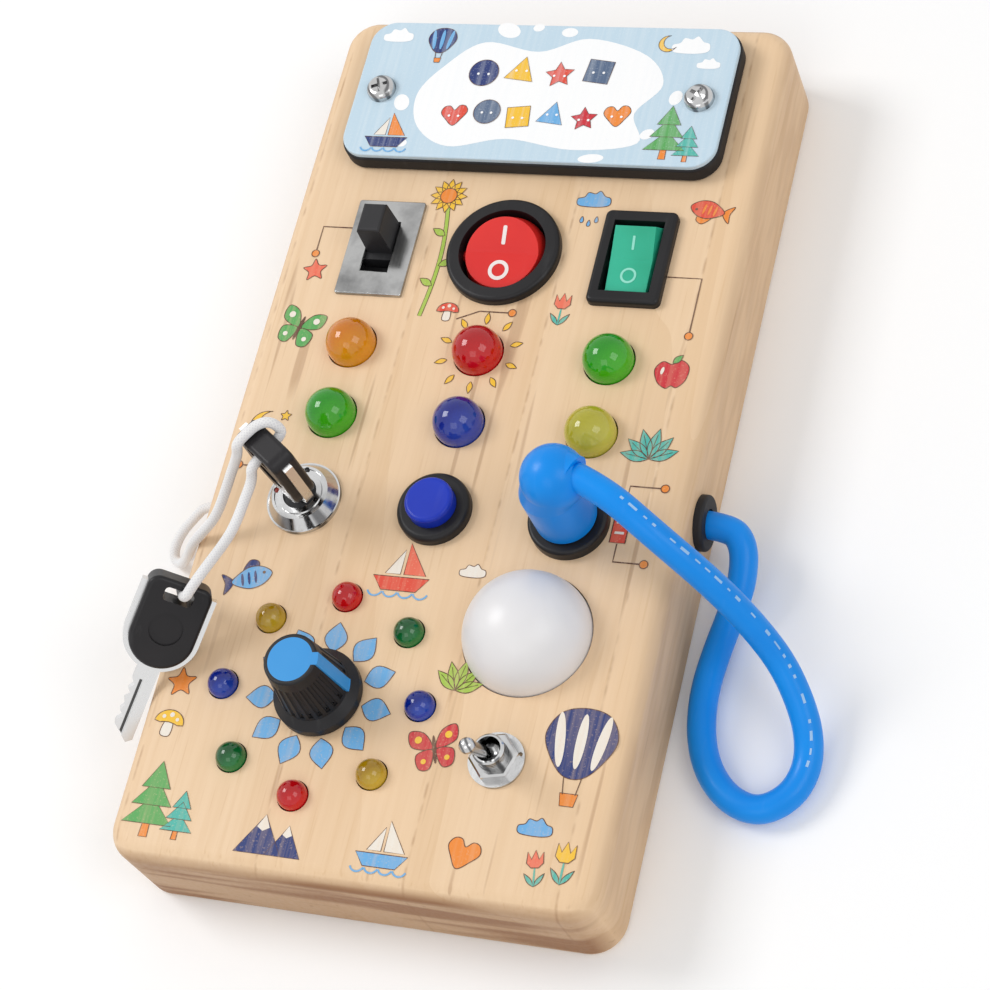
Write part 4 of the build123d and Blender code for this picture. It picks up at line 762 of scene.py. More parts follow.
class Assembly:
    """A sub-assembly: the finishes of its nodes, and what its own build adds to them."""
    looks: dict[str, Finish] = {}

    def build(self) -> None:
        """Dresses the nodes."""
        for node, look in self.looks.items():
            dress(node, look)
        LOG.info("%s: %d nodes dressed", type(self).__name__, len(self.looks))


# ---------------------------------------------------------------- printed shapes
def turned(point: Point, degrees: float) -> Point:
    """A point turned about the origin.

    Args:
        point: the point.
        degrees: how far, anticlockwise.
    Returns:
        The turned point.
    """
    c, s = math.cos(math.radians(degrees)), math.sin(math.radians(degrees))
    return point[0] * c - point[1] * s, point[0] * s + point[1] * c


def moved(outline: Outline, at: Point, size: float = 1.0, degrees: float = 0.0) -> Outline:
    """An outline scaled and turned about the origin, then shifted.

    Args:
        outline: its points.
        at: where the origin goes.
        size: the scale.
        degrees: the turn, anticlockwise.
    Returns:
        The new points.
    """
    return [(at[0] + size * x, at[1] + size * y) for x, y in (turned(point, degrees) for point in outline)]


def arc(radius: float, start: float, end: float, count: int, centre: Point = (0, 0)) -> Outline:
    """Points on a circle's arc.

    Args:
        radius: the circle's radius.
        start, end: angles in degrees.
        count: steps between them.
        centre: the circle's centre.
    Returns:
        The points, one more than the steps.
    """
    turns = (math.radians(start + (end - start) * k / count) for k in range(count + 1))
    return [(centre[0] + radius * math.cos(a), centre[1] + radius * math.sin(a)) for a in turns]


def disc(radius: float, centre: Point = (0, 0), count: int = 36) -> Outline:
    """A closed circle."""
    return arc(radius, 0, 360, count, centre)[:-1]


def oval(half_w: float, half_l: float, centre: Point = (0, 0), turn: float = 0.0) -> Outline:
    """A closed ellipse, turned in degrees."""
    return moved([(half_w * x, half_l * y) for x, y in disc(1.0)], centre, degrees=turn)


def mirrored(half: Outline) -> Outline:
    """A half outline from one end of the mirror line to the other, followed by its mirror image."""
    return half + [(-x, y) for x, y in reversed(half[1:-1])]


def smooth(points: Outline, per: int = 7) -> Outline:
    """A closed smooth curve through points.

    Args:
        points: what it passes through.
        per: steps from one point to the next.
    Returns:
        The curve's points.
    """
    made: Outline = []
    for k in range(len(points)):
        a, b, c, d = (points[(k + j - 1) % len(points)] for j in range(4))
        for t in (step / per for step in range(per)):
            weights = (-t + 2 * t ** 2 - t ** 3, 2 - 5 * t ** 2 + 3 * t ** 3, t + 4 * t ** 2 - 3 * t ** 3,
                       t ** 3 - t ** 2)
            made.append(tuple(0.5 * sum(w * p[i] for w, p in zip(weights, (a, b, c, d))) for i in range(2)))
    return made


def star_shape(inner: float) -> Outline:
    """A five-pointed star of unit radius, with its inner corners at a given radius."""
    corners = ((1.0 if k % 2 == 0 else inner, math.pi * k / 5) for k in range(10))
    return [(radius * math.sin(a), radius * math.cos(a)) for radius, a in corners]


def leaf_shape(length: float, width: float, turn: float, root: Point = (0, 0)) -> Outline:
    """A pointed leaf.

    Args:
        length, width: its size.
        turn: degrees from straight up.
        root: where it starts.
    Returns:
        The outline.
    """
    steps, fuller_foot = 9, 0.5
    half = [(width / 2 * math.sin(math.pi * t) * (1.25 - fuller_foot * t), length * t)
            for t in (k / steps for k in range(steps + 1))]
    return moved(mirrored(half), root, degrees=turn)


class Ink(Enum):
    """Inks of the printed front and name plate."""
    BROWN = srgb(96, 64, 52)
    YELLOW = srgb(246, 196, 62)
    ORANGE = srgb(240, 142, 62)
    RED = srgb(226, 84, 66)
    CRIMSON = srgb(206, 56, 66)
    NAVY = srgb(52, 66, 120)
    SKY = srgb(112, 176, 226)
    TEAL = srgb(86, 184, 170)
    GREEN = srgb(96, 170, 96)
    LIME = srgb(168, 198, 84)
    CREAM = srgb(240, 232, 220)
    WHITE = srgb(252, 252, 252)
    SLATE = srgb(92, 110, 138)
    CORAL = srgb(238, 116, 92)


@dataclass
class PrintLayer:
    """Flat printed shapes on one surface, gathered by ink and built as thin meshes.

    Sizes are in millimetres in the board's frame.
    """
    name: str
    height: float
    under: Colour
    slot: str
    line: float = 0.16
    lift: float = 0.035
    layer_step: float = 0.020
    shape_step: float = 0.001
    shape_cycle: int = 20
    shapes: int = 0
    sheets: dict[Ink, tuple[list[Vector], list[Face]]] = field(default_factory=dict)

    def level(self, layer: int) -> float:
        """Height of the next shape, a hair above the one before it so that none coincide.

        Args:
            layer: its layer.
        Returns:
            The height, in millimetres.
        """
        self.shapes += 1
        above_layer = self.shape_step * (self.shapes % self.shape_cycle)
        return self.height + self.lift + self.layer_step * layer + above_layer

    def fill(self, ink: Ink, outline: Outline, layer: int = 0) -> None:
        """A filled shape.

        Args:
            ink: its ink.
            outline: its closed outline.
            layer: shapes of a higher layer lie over the lower ones.
        """
        points, faces = self.sheets.setdefault(ink, ([], []))
        z, base = self.level(layer), len(points)
        loop = [Vector((x, y, 0)) for x, y in outline]
        points.extend(Vector((x, y, z)) * MM for x, y in outline)
        for a, b, c in tessellate_polygon([loop]):
            faces_up = (loop[b] - loop[a]).cross(loop[c] - loop[a]).z > 0
            faces.append((base + a, base + b, base + c) if faces_up else (base + a, base + c, base + b))

    def stroke(self, ink: Ink, path: Outline, width: float | None = None, closed: bool = True,
               layer: int = 3) -> None:
        """A line of even width.

        Args:
            ink: its ink.
            path: the points it follows.
            width: the line's width, or None for the layer's own.
            closed: whether the path is a loop.
            layer: as in fill.
        """
        half = (width or self.line) / 2
        points, faces = self.sheets.setdefault(ink, ([], []))
        z, n, base = self.level(layer), len(path), len(points)
        for k, (x, y) in enumerate(path):
            before = path[(k - 1) % n] if closed or k else path[k]
            after = path[(k + 1) % n] if closed or k < n - 1 else path[k]
            dx, dy = after[0] - before[0], after[1] - before[1]
            long = math.hypot(dx, dy) or 1.0
            ox, oy = -dy / long * half, dx / long * half
            points += [Vector((x + ox, y + oy, z)) * MM, Vector((x - ox, y - oy, z)) * MM]
        for k in range(n if closed else n - 1):
            a, b = base + 2 * k, base + 2 * ((k + 1) % n)
            faces.append((a, a + 1, b + 1, b))

    def pen(self, at: Point = (0, 0), size: float = 1.0, turn: float = 0.0) -> "Pen":
        """A pen for one picture.

        Args:
            at: the picture's centre.
            size: millimetres a unit.
            turn: degrees.
        Returns:
            The pen.
        """
        return Pen(self, at, size, turn)

    def build(self) -> None:
        """Makes one thin mesh an ink and lets it ride on the board."""
        for ink, (points, faces) in self.sheets.items():
            material = Print(f"{self.name}_{ink.name.lower()}", ink.value, self.under).material()
            made = add_piece(f"{self.name}_{ink.name.lower()}", points, faces, material)
            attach(made, "board")
        LOG.info("%s: %d inks", self.name, len(self.sheets))


@dataclass(frozen=True)
class Pen:
    """Draws a picture's unit shapes at its place on a print layer."""
    on: PrintLayer
    at: Point
    size: float
    turn: float

    def shape(self, ink: Ink, outline: Outline, layer: int = 0, edged: bool = True) -> None:
        """A filled shape with a thin brown edge.

        Args:
            ink: its ink.
            outline: its closed outline in units.
            layer: as in the layer's fill.
            edged: whether it has the edge line.
        """
        placed = moved(outline, self.at, self.size, self.turn)
        self.on.fill(ink, placed, layer)
        if edged:
            self.on.stroke(Ink.BROWN, placed, layer=layer + 1)

    def line(self, ink: Ink, path: Outline, width: float, layer: int = 3) -> None:
        """An open line.

        Args:
            ink: its ink.
            path: its points in units.
            width: in millimetres.
            layer: as in the layer's fill.
        """
        self.on.stroke(ink, moved(path, self.at, self.size, self.turn), width, False, layer)


# ---------------------------------------------------------------- pictures
STAR = smooth(star_shape(0.52), 4)
HEART = smooth(mirrored([(0, -0.9), (0.62, -0.3), (0.98, 0.25), (0.78, 0.72), (0.35, 0.78), (0, 0.42)]))
CLOUD = smooth([(-1.0, -0.25), (-1.05, 0.15), (-0.65, 0.3), (-0.45, 0.62), (0.0, 0.55), (0.3, 0.75),
                (0.65, 0.4), (1.02, 0.25), (1.05, -0.2), (0.5, -0.38), (-0.5, -0.38)])
MOON = arc(1.0, 60, 300, 24) + arc(0.86, 75, 285, 18, (0.42, 0.0))[::-1]
DROP = smooth([(0, 1.0), (0.42, 0.1), (0.3, -0.45), (0, -0.6), (-0.3, -0.45), (-0.42, 0.1)], 5)
FISH_TAIL = smooth([(-0.75, 0.0), (-1.25, 0.5), (-1.15, 0.0), (-1.25, -0.5)], 5)
FISH_FIN = smooth([(-0.3, 0.35), (0.05, 0.85), (0.45, 0.7), (0.35, 0.3)], 5)
FISH_BODY = smooth([(1.0, 0.02), (0.6, 0.42), (0.0, 0.52), (-0.55, 0.28), (-0.85, 0.0), (-0.55, -0.28),
                    (0.0, -0.5), (0.6, -0.4)])
MUSHROOM_FOOT = smooth([(-0.26, 0.1), (-0.32, -0.8), (0.32, -0.8), (0.26, 0.1)], 5)
BALLOON_SKIN = smooth([(0, 1.0), (0.55, 0.85), (0.8, 0.35), (0.6, -0.15), (0.22, -0.55), (-0.22, -0.55),
                       (-0.6, -0.15), (-0.8, 0.35), (-0.55, 0.85)])
APPLE_SKIN = smooth(mirrored([(0, 0.55), (0.5, 0.75), (0.92, 0.3), (0.75, -0.45), (0.3, -0.85), (0, -0.72)]))
TULIP_CUP = [(-0.42, 0.85), (-0.2, 0.45), (0, 0.95), (0.2, 0.45), (0.42, 0.85), (0.45, 0.25), (0.2, 0.0),
             (-0.2, 0.0), (-0.45, 0.25)]


def fish(pen: Pen, ink: Ink, fin: Ink) -> None:
    """A fish with a tail, a fin and stripes.

    Args:
        pen: the pen that draws it.
        ink: the body's ink.
        fin: the tail's and the fin's ink.
    """
    pen.shape(fin, FISH_TAIL)
    pen.shape(fin, FISH_FIN)
    pen.shape(ink, FISH_BODY, 2)
    for x in (-0.35, -0.05, 0.25):
        pen.shape(fin, oval(0.06, 0.3, (x, 0)), 4, False)
    pen.shape(Ink.BROWN, disc(0.07, (0.65, 0.12), 12), 5, False)


def butterfly(pen: Pen, ink: Ink, spot: Ink) -> None:
    """A butterfly with spotted wings.

    Args:
        pen: the pen that draws it.
        ink: the wings' ink.
        spot: the spots' ink.
    """
    upper = ((0.08, 0.05), (0.35, 0.75), (0.95, 0.9), (0.9, 0.25))
    lower = ((0.08, 0.0), (0.75, -0.1), (0.7, -0.7), (0.25, -0.75))
    for side in (-1, 1):
        pen.shape(ink, smooth([(side * x, y) for x, y in upper]))
        pen.shape(ink, smooth([(side * x, y) for x, y in lower]), 1)
        pen.shape(spot, disc(0.15, (side * 0.62, 0.52), 16), 3, False)
        pen.shape(spot, disc(0.11, (side * 0.48, -0.42), 16), 3, False)
    pen.shape(Ink.BROWN, oval(0.08, 0.6), 4, False)


def sprig(pen: Pen, ink: Ink, leaves: int, spread: float) -> None:
    """Leaves that fan out from one root.

    Args:
        pen: where it goes.
        ink: its ink.
        leaves: how many.
        spread: the fan's angle in degrees.
    """
    for k in range(leaves):
        angle = spread * (k / (leaves - 1) - 0.5)
        long = 1.0 - 0.25 * abs(angle) / spread
        pen.shape(ink, leaf_shape(long, 0.34, angle), 1)
        pen.line(Ink.BROWN, [turned((0, long * t), angle) for t in (0.1, 0.5, 0.8)], 0.10, 4)


def tulip(pen: Pen, ink: Ink) -> None:
    """A tulip on a stem with two leaves.

    Args:
        pen: the pen that draws it.
        ink: the petals' ink.
    """
    for turn in (38, -38):
        pen.shape(Ink.TEAL, leaf_shape(0.9, 0.24, turn, (0, -1.0)))
    pen.shape(Ink.TEAL, oval(0.05, 0.55, (0, -0.45)), 1, False)
    pen.shape(ink, TULIP_CUP, 2)


def sunflower(pen: Pen, foot: Point) -> None:
    """A tall sunflower.

    Args:
        pen: where its head goes.
        foot: where its stem starts, in millimetres.
    """
    bow, steps = 1.4, 12
    lean, rise = pen.at[0] - foot[0], pen.at[1] - foot[1]
    stem = [(foot[0] + lean * t + bow * math.sin(math.pi * t), foot[1] + rise * t)
            for t in (k / steps for k in range(steps + 1))]
    ground = pen.on.pen()
    ground.line(Ink.BROWN, stem, 0.95, 0)
    ground.line(Ink.LIME, stem, 0.7, 1)
    for k, side in ((3, -1), (5, 1), (8, -1)):
        ground.shape(Ink.LIME, leaf_shape(3.2, 1.5, side * -62, stem[k]), 2)
    for turn in range(0, 360, 30):
        pen.shape(Ink.YELLOW, leaf_shape(1.0, 0.42, turn), 3)
    pen.shape(Ink.ORANGE, disc(0.44), 5)


def mushroom(pen: Pen, ink: Ink) -> None:
    """A spotted mushroom.

    Args:
        pen: the pen that draws it.
        ink: the cap's ink.
    """
    pen.shape(Ink.CREAM, MUSHROOM_FOOT)
    cap = arc(1.0, 0, 180, 18) + smooth([(-0.6, -0.08), (0.0, 0.06), (0.6, -0.08)], 2)[:5]
    pen.shape(ink, [(x, y * 0.85) for x, y in cap], 2)
    for x, y, radius in ((-0.45, 0.35, 0.13), (0.05, 0.55, 0.16), (0.5, 0.3, 0.12)):
        pen.shape(Ink.CREAM, disc(radius, (x, y), 14), 4, False)


def boat(pen: Pen, hull: Ink, sail: Ink) -> None:
    """A sailing boat on waves.

    Args:
        pen: the pen that draws it.
        hull: the hull's ink.
        sail: the front sail's ink.
    """
    pen.shape(hull, [(-1.0, -0.25), (1.0, -0.25), (0.62, -0.75), (-0.62, -0.75)])
    pen.shape(sail, [(0.06, -0.15), (0.06, 1.0), (0.85, -0.15)])
    pen.shape(Ink.CREAM, [(-0.06, -0.15), (-0.06, 0.75), (-0.6, -0.15)])
    for k in range(4):
        pen.line(Ink.SKY, arc(0.27, 200, 340, 8, (-0.81 + 0.54 * k, -0.72)), 0.35, 2)


def balloon(pen: Pen, ink: Ink, stripe: Ink) -> None:
    """A striped hot-air balloon with its basket.

    Args:
        pen: the pen that draws it.
        ink: the skin's ink.
        stripe: the stripes' ink.
    """
    pen.shape(ink, BALLOON_SKIN)
    for x in (-0.46, 0.0, 0.46):
        pen.shape(stripe, oval(0.11, 0.62, (x, 0.25), x * -18), 2, False)
    for side in (-1, 1):
        pen.line(Ink.BROWN, [(side * 0.2, -0.55), (side * 0.14, -0.95)], 0.16)
    pen.shape(Ink.ORANGE, [(-0.2, -0.92), (0.2, -0.92), (0.15, -1.2), (-0.15, -1.2)], 1)


def apple(pen: Pen, ink: Ink) -> None:
    """An apple with its leaf.

    Args:
        pen: the pen that draws it.
        ink: the skin's ink.
    """
    pen.shape(ink, APPLE_SKIN)
    pen.shape(Ink.GREEN, leaf_shape(0.7, 0.35, -50, (0.03, 0.6)), 2)
    pen.shape(Ink.CREAM, oval(0.09, 0.22, (-0.5, 0.2), -15), 3, False)


def fir(pen: Pen, ink: Ink) -> None:
    """A fir tree of three tiers.

    Args:
        pen: the pen that draws it.
        ink: the tiers' ink.
    """
    pen.shape(Ink.ORANGE, [(-0.12, -1.0), (0.12, -1.0), (0.1, -0.6), (-0.1, -0.6)])
    for k, (y, half) in enumerate(((-0.65, 0.7), (-0.15, 0.56), (0.32, 0.4))):
        pen.shape(ink, [(-half, y), (half, y), (0, y + 0.72)], 1 + k)


def hills(pen: Pen, ink: Ink) -> None:
    """Two peaks with light caps.

    Args:
        pen: the pen that draws it.
        ink: the slopes' ink.
    """
    for x, high in ((0.45, 0.75), (-0.35, 1.0)):
        top, snow, dip = high - 0.2, high * 0.62 - 0.2, high * 0.5 - 0.2
        pen.shape(ink, [(x - high * 0.75, -0.4), (x + high * 0.75, -0.4), (x, top)])
        pen.shape(Ink.CREAM, [(x - high * 0.2, snow), (x, dip), (x + high * 0.2, snow), (x, top)], 2, False)


def petals(pen: Pen, ink: Ink, inner: float, outer: float, count: int, width: float) -> None:
    """Petals round a control.

    Args:
        pen: where their middle is.
        ink: their ink.
        inner, outer: the radii that they reach from and to.
        count: how many.
        width: of one petal.
    """
    for angle in (360 * k / count for k in range(count)):
        pen.shape(ink, leaf_shape(outer - inner, width, angle, turned((0, inner), angle)), 1)


def drops(pen: Pen, ink: Ink) -> None:
    """Three rain drops."""
    for at in ((-1.3, 0.4), (0.1, -0.3), (1.4, 0.5)):
        pen.shape(ink, moved(DROP, at, 0.8))


@dataclass
class PrintedFront:
    """The picture print on the case's front and the thin lines that look like a circuit."""
    height: float = 20.6
    pad: float = 0.8
    runs: tuple[tuple[Outline, Point], ...] = (
        ([(-33.3, 41.6), (-39.8, 41.6), (-39.8, 36.0)], (-39.8, 35.3)),
        ([(33.8, 34.2), (40.6, 34.2), (40.6, 22.4)], (40.6, 21.7)),
        ([(36.2, -13.4), (36.2, -10.2), (42.2, -10.2)], (42.9, -10.2)),
        ([(36.2, -22.0), (36.2, -25.6), (41.4, -25.6)], (42.1, -25.6)),
        ([(-6.4, 22.4), (-2.0, 24.4), (4.0, 24.4)], (4.7, 24.4)),
        ([(-36.6, -12.4), (-42.0, -12.4)], (-42.7, -12.4)),
    )

    def build(self) -> None:
        """Lays out every picture and line and builds the inks."""
        layer = PrintLayer("front_print", self.height, PINE_LIGHT, "pine")
        pen = layer.pen
        sunflower(pen((-14.9, 50.0), 3.9), (-14.2, 22.6))
        mushroom(pen((-8.6, 23.9), 2.3), Ink.RED)
        butterfly(pen((-38.6, 18.2), 4.6, -14), Ink.GREEN, Ink.CREAM)
        pen((-38.9, 31.5), 2.6, 10).shape(Ink.CORAL, STAR)
        pen((15.4, 50.2), 3.2).shape(Ink.SKY, CLOUD)
        drops(pen((15.3, 45.4), 1.1), Ink.SKY)
        tulip(pen((14.3, 26.0), 3.6), Ink.CORAL)
        fish(pen((38.9, 49.4), 3.8, 168), Ink.RED, Ink.ORANGE)
        apple(pen((39.0, 13.6), 3.6, 8), Ink.CRIMSON)
        sprig(pen((38.4, -4.4), 6.6, 6), Ink.TEAL, 6, 150)
        pen((-39.6, -3.8), 3.3, 25).shape(Ink.YELLOW, MOON)
        pen((-35.9, -1.2), 1.2).shape(Ink.YELLOW, STAR)
        petals(pen((0.0, 15.3)), Ink.YELLOW, 6.3, 8.9, 10, 1.1)
        boat(pen((-3.4, -31.2), 5.6), Ink.RED, Ink.CORAL)
        pen((10.2, -30.4), 2.4).shape(Ink.CREAM, CLOUD)
        fish(pen((-33.4, -35.8), 4.4, 20), Ink.SKY, Ink.NAVY)
        petals(pen((-12.87, -57.4)), Ink.SKY, 8.6, 14.6, 11, 4.4)
        sprig(pen((12.6, -53.6), 6.2, -10), Ink.LIME, 5, 120)
        butterfly(pen((11.6, -65.2), 4.6, 18), Ink.CRIMSON, Ink.YELLOW)
        balloon(pen((38.2, -62.6), 8.4), Ink.NAVY, Ink.CREAM)
        pen((33.6, -77.6), 3.0).shape(Ink.SKY, CLOUD)
        tulip(pen((40.2, -82.8), 4.0), Ink.YELLOW)
        tulip(pen((35.2, -84.4), 3.4, 8), Ink.CORAL)
        fir(pen((-39.8, -81.2), 7.2), Ink.GREEN)
        fir(pen((-33.6, -83.6), 4.6), Ink.TEAL)
        hills(pen((-14.6, -86.2), 6.2), Ink.NAVY)
        boat(pen((6.8, -84.4), 5.0), Ink.SKY, Ink.CREAM)
        pen((21.6, -83.6), 3.2, -12).shape(Ink.ORANGE, HEART)
        pen((-41.0, -58.0), 3.0, 8).shape(Ink.ORANGE, STAR)
        mushroom(pen((-41.2, -66.2), 3.0, -6), Ink.YELLOW)
        self.lines(layer)
        layer.build()

    def lines(self, layer: PrintLayer) -> None:
        """Thin lines from the switches to round pads, and a printed cell in one of them.

        Args:
            layer: the print layer.
        """
        for path, at in self.runs:
            layer.stroke(Ink.BROWN, path, 0.28, False, 1)
            layer.fill(Ink.ORANGE, disc(self.pad, at, 20), 2)
            layer.stroke(Ink.BROWN, disc(self.pad, at, 20), 0.18, True, 3)
        cell = [(34.7, -21.8), (37.7, -21.8), (37.7, -13.6), (34.7, -13.6)]
        layer.fill(Ink.RED, cell, 1)
        layer.stroke(Ink.BROWN, cell, 0.22)
        for y in (-19.8, -17.7, -15.6):
            layer.stroke(Ink.CREAM, [(35.3, y), (37.1, y)], 0.5, False, 4)


class Token(Enum):
    """The plain shapes in the name plate's rows: outline, turn in degrees and layer."""
    ROUND = (disc(1.0), 7, 2)
    THREE = ([(-1.0, -0.8), (1.0, -0.8), (0.0, 1.0)], 7, 2)
    STAR = (star_shape(0.5), 7, 2)
    SQUARE = ([(-0.85, -0.85), (0.85, -0.85), (0.85, 0.85), (-0.85, 0.85)], 7, 2)
    HEART = (HEART, 6, 0)


@dataclass
class NamePlate(Assembly):
    """The light blue panel with clouds and two rows of plain shapes."""
    looks = {"sign_base": Finish.SIGN_EDGE, "sign_panel": Finish.SIGN_BLUE, "sign_screws": Finish.CHROME}
    top: float = 25.3
    blob: tuple[Point, ...] = (
        (-21.5, 77.5), (-14.0, 83.6), (-2.0, 81.6), (8.0, 85.0), (20.5, 81.4), (25.4, 74.6), (21.0, 67.6),
        (23.0, 60.8), (10.0, 58.8), (-4.0, 60.8), (-16.0, 58.6), (-23.6, 63.0), (-25.6, 70.6))
    puffs: tuple[tuple[Point, float, float, float], ...] = (
        ((-9.6, 86.6), 2.6, 1.7, -20), ((-3.4, 87.4), 1.2, 0.9, 10), ((3.4, 86.4), 1.7, 1.1, 0),
        ((-28.4, 68.6), 1.6, 2.0, 25), ((-26.0, 59.0), 1.2, 0.9, 0), ((24.6, 63.0), 1.5, 1.1, 30),
        ((14.4, 57.0), 2.6, 1.0, 6), ((28.6, 71.6), 1.3, 1.7, -15))
    clouds: tuple[tuple[Point, float], ...] = (((29.2, 83.4), 3.6), ((33.6, 79.4), 2.2), ((-33.2, 84.4), 3.0))
    upper_row: tuple[tuple[float, Ink, Token], ...] = (
        (-12.5, Ink.NAVY, Token.ROUND), (-4.6, Ink.YELLOW, Token.THREE), (3.6, Ink.RED, Token.STAR),
        (11.6, Ink.SLATE, Token.SQUARE))
    lower_row: tuple[tuple[float, Ink, Token], ...] = (
        (-16.4, Ink.RED, Token.HEART), (-9.6, Ink.SLATE, Token.ROUND), (-2.8, Ink.YELLOW, Token.SQUARE),
        (4.2, Ink.SKY, Token.THREE), (11.0, Ink.CRIMSON, Token.STAR), (17.6, Ink.ORANGE, Token.HEART))

    def build(self) -> None:
        """Dresses the plate and its screws and prints the panel."""
        super().build()
        layer = PrintLayer("sign_print", self.top, srgb(240, 244, 248), "sign_blue", 0.14)
        layer.fill(Ink.WHITE, smooth(list(self.blob)), -1)
        for at, wide, tall, turn in self.puffs:
            layer.fill(Ink.WHITE, oval(wide, tall, at, turn), -1)
        for at, size in self.clouds:
            layer.pen(at, size).shape(Ink.WHITE, CLOUD, 0, False)
        self.row(layer, self.upper_row, 76.6, 3.1)
        self.row(layer, self.lower_row, 66.4, 2.8)
        boat(layer.pen((-29.6, 61.4), 4.6), Ink.NAVY, Ink.ORANGE)
        balloon(layer.pen((-23.4, 83.0), 3.8), Ink.NAVY, Ink.SKY)
        fir(layer.pen((28.6, 63.4), 6.0), Ink.GREEN)
        fir(layer.pen((33.2, 61.0), 4.0), Ink.TEAL)
        layer.pen((24.4, 84.2), 1.9, 30).shape(Ink.YELLOW, MOON)
        layer.build()

    @staticmethod
    def row(layer: PrintLayer, shapes: Sequence[tuple[float, Ink, Token]], y: float, size: float) -> None:
        """A row of shapes, each with two white dots, that stand a little up and down in turn.

        Args:
            layer: the print layer.
            shapes: place across, ink and shape of each.
            y: the row's height on the panel.
            size: half a shape's width.
        """
        raised, lowered, dot_out, dot_down, dot = 0.6, -0.4, 0.35, 0.1, 0.28
        for k, (x, ink, token) in enumerate(shapes):
            outline, turn, level = token.value
            way = 1 if token is Token.HEART else (-1) ** k
            at = (x, y + (raised if k % 2 else lowered))
            layer.pen(at, size, way * turn).shape(ink, outline, level)
            for side in (-1, 1):
                eye = (at[0] + side * dot_out * size, at[1] - dot_down * size)
                layer.fill(Ink.WHITE, disc(dot, eye, 12), 6)


# ---------------------------------------------------------------- cord and cable
def spline_path(points: Sequence[Space]) -> list[Vector]:
    """Points along a smooth spline.

    Args:
        points: its control points, in millimetres.
    Returns:
        Points along the spline, in metres.
    """
    curve = bpy.data.curves.new("route", "CURVE")
    curve.dimensions = "3D"
    curve.resolution_u = 14
    spline = curve.splines.new("NURBS")
    spline.points.add(len(points) - 1)
    for place, (x, y, z) in zip(spline.points, points):
        place.co = (x * MM, y * MM, z * MM, 1.0)
    spline.order_u = 3
    spline.use_endpoint_u = True
    carrier = bpy.data.objects.new("route", curve)
    bpy.context.scene.collection.objects.link(carrier)
    bpy.context.view_layer.update()
    mesh = bpy.data.meshes.new_from_object(carrier)
    path = [v.co.copy() for v in mesh.vertices]
    bpy.data.objects.remove(carrier)
    bpy.data.meshes.remove(mesh)
    bpy.data.curves.remove(curve)
    return path


def along(path: Sequence[Vector]) -> list[float]:
    """Distance along a path at each of its points.

    Args:
        path: the points, in metres.
    Returns:
        The distances, in metres.
    """
    total = [0.0]
    for a, b in zip(path, path[1:]):
        total.append(total[-1] + (b - a).length)
    return total


def tube(name: str, path: Sequence[Vector], radius: float, material: Material, sides: int = 20) -> Object:
    """A round tube along a path, with around-and-along coordinates and closed ends.

    Args:
        name: the piece's name.
        path: its centre line, in metres.
        radius: in metres.
        material: its finish.
        sides: faces round it.
    Returns:
        The new piece.
    """
    spans = along(path)
    side = Vector((0, 0, 1))
    points: list[Vector] = []
    for k, centre in enumerate(path):
        ahead = (path[min(k + 1, len(path) - 1)] - path[max(k - 1, 0)]).normalized()
        side = (side - ahead * side.dot(ahead)).normalized()
        other = ahead.cross(side)
        for angle in (FULL_TURN * j / sides for j in range(sides)):
            points.append(centre + (side * math.cos(angle) + other * math.sin(angle)) * radius)
    last = (len(path) - 1) * sides
    faces: list[Face] = []
    for start in range(0, last, sides):
        for j in range(sides):
            a, b = start + j, start + (j + 1) % sides
            faces.append((a, b, b + sides, a + sides))
    faces += [tuple(reversed(range(sides))), tuple(range(last, last + sides))]
    made = add_piece(name, points, faces, material, True)
    layer = made.data.uv_layers.new(name="around_along")
    for face in made.data.polygons:
        vertices = {i: made.data.loops[i].vertex_index for i in face.loop_indices}
        turns = [vertex % sides for vertex in vertices.values()]
        wraps = 0 in turns and sides - 1 in turns
        for i, vertex in vertices.items():
            turn = vertex % sides
            layer.data[i].uv = ((sides if wraps and turn == 0 else turn) / sides, spans[vertex // sides])
    return made


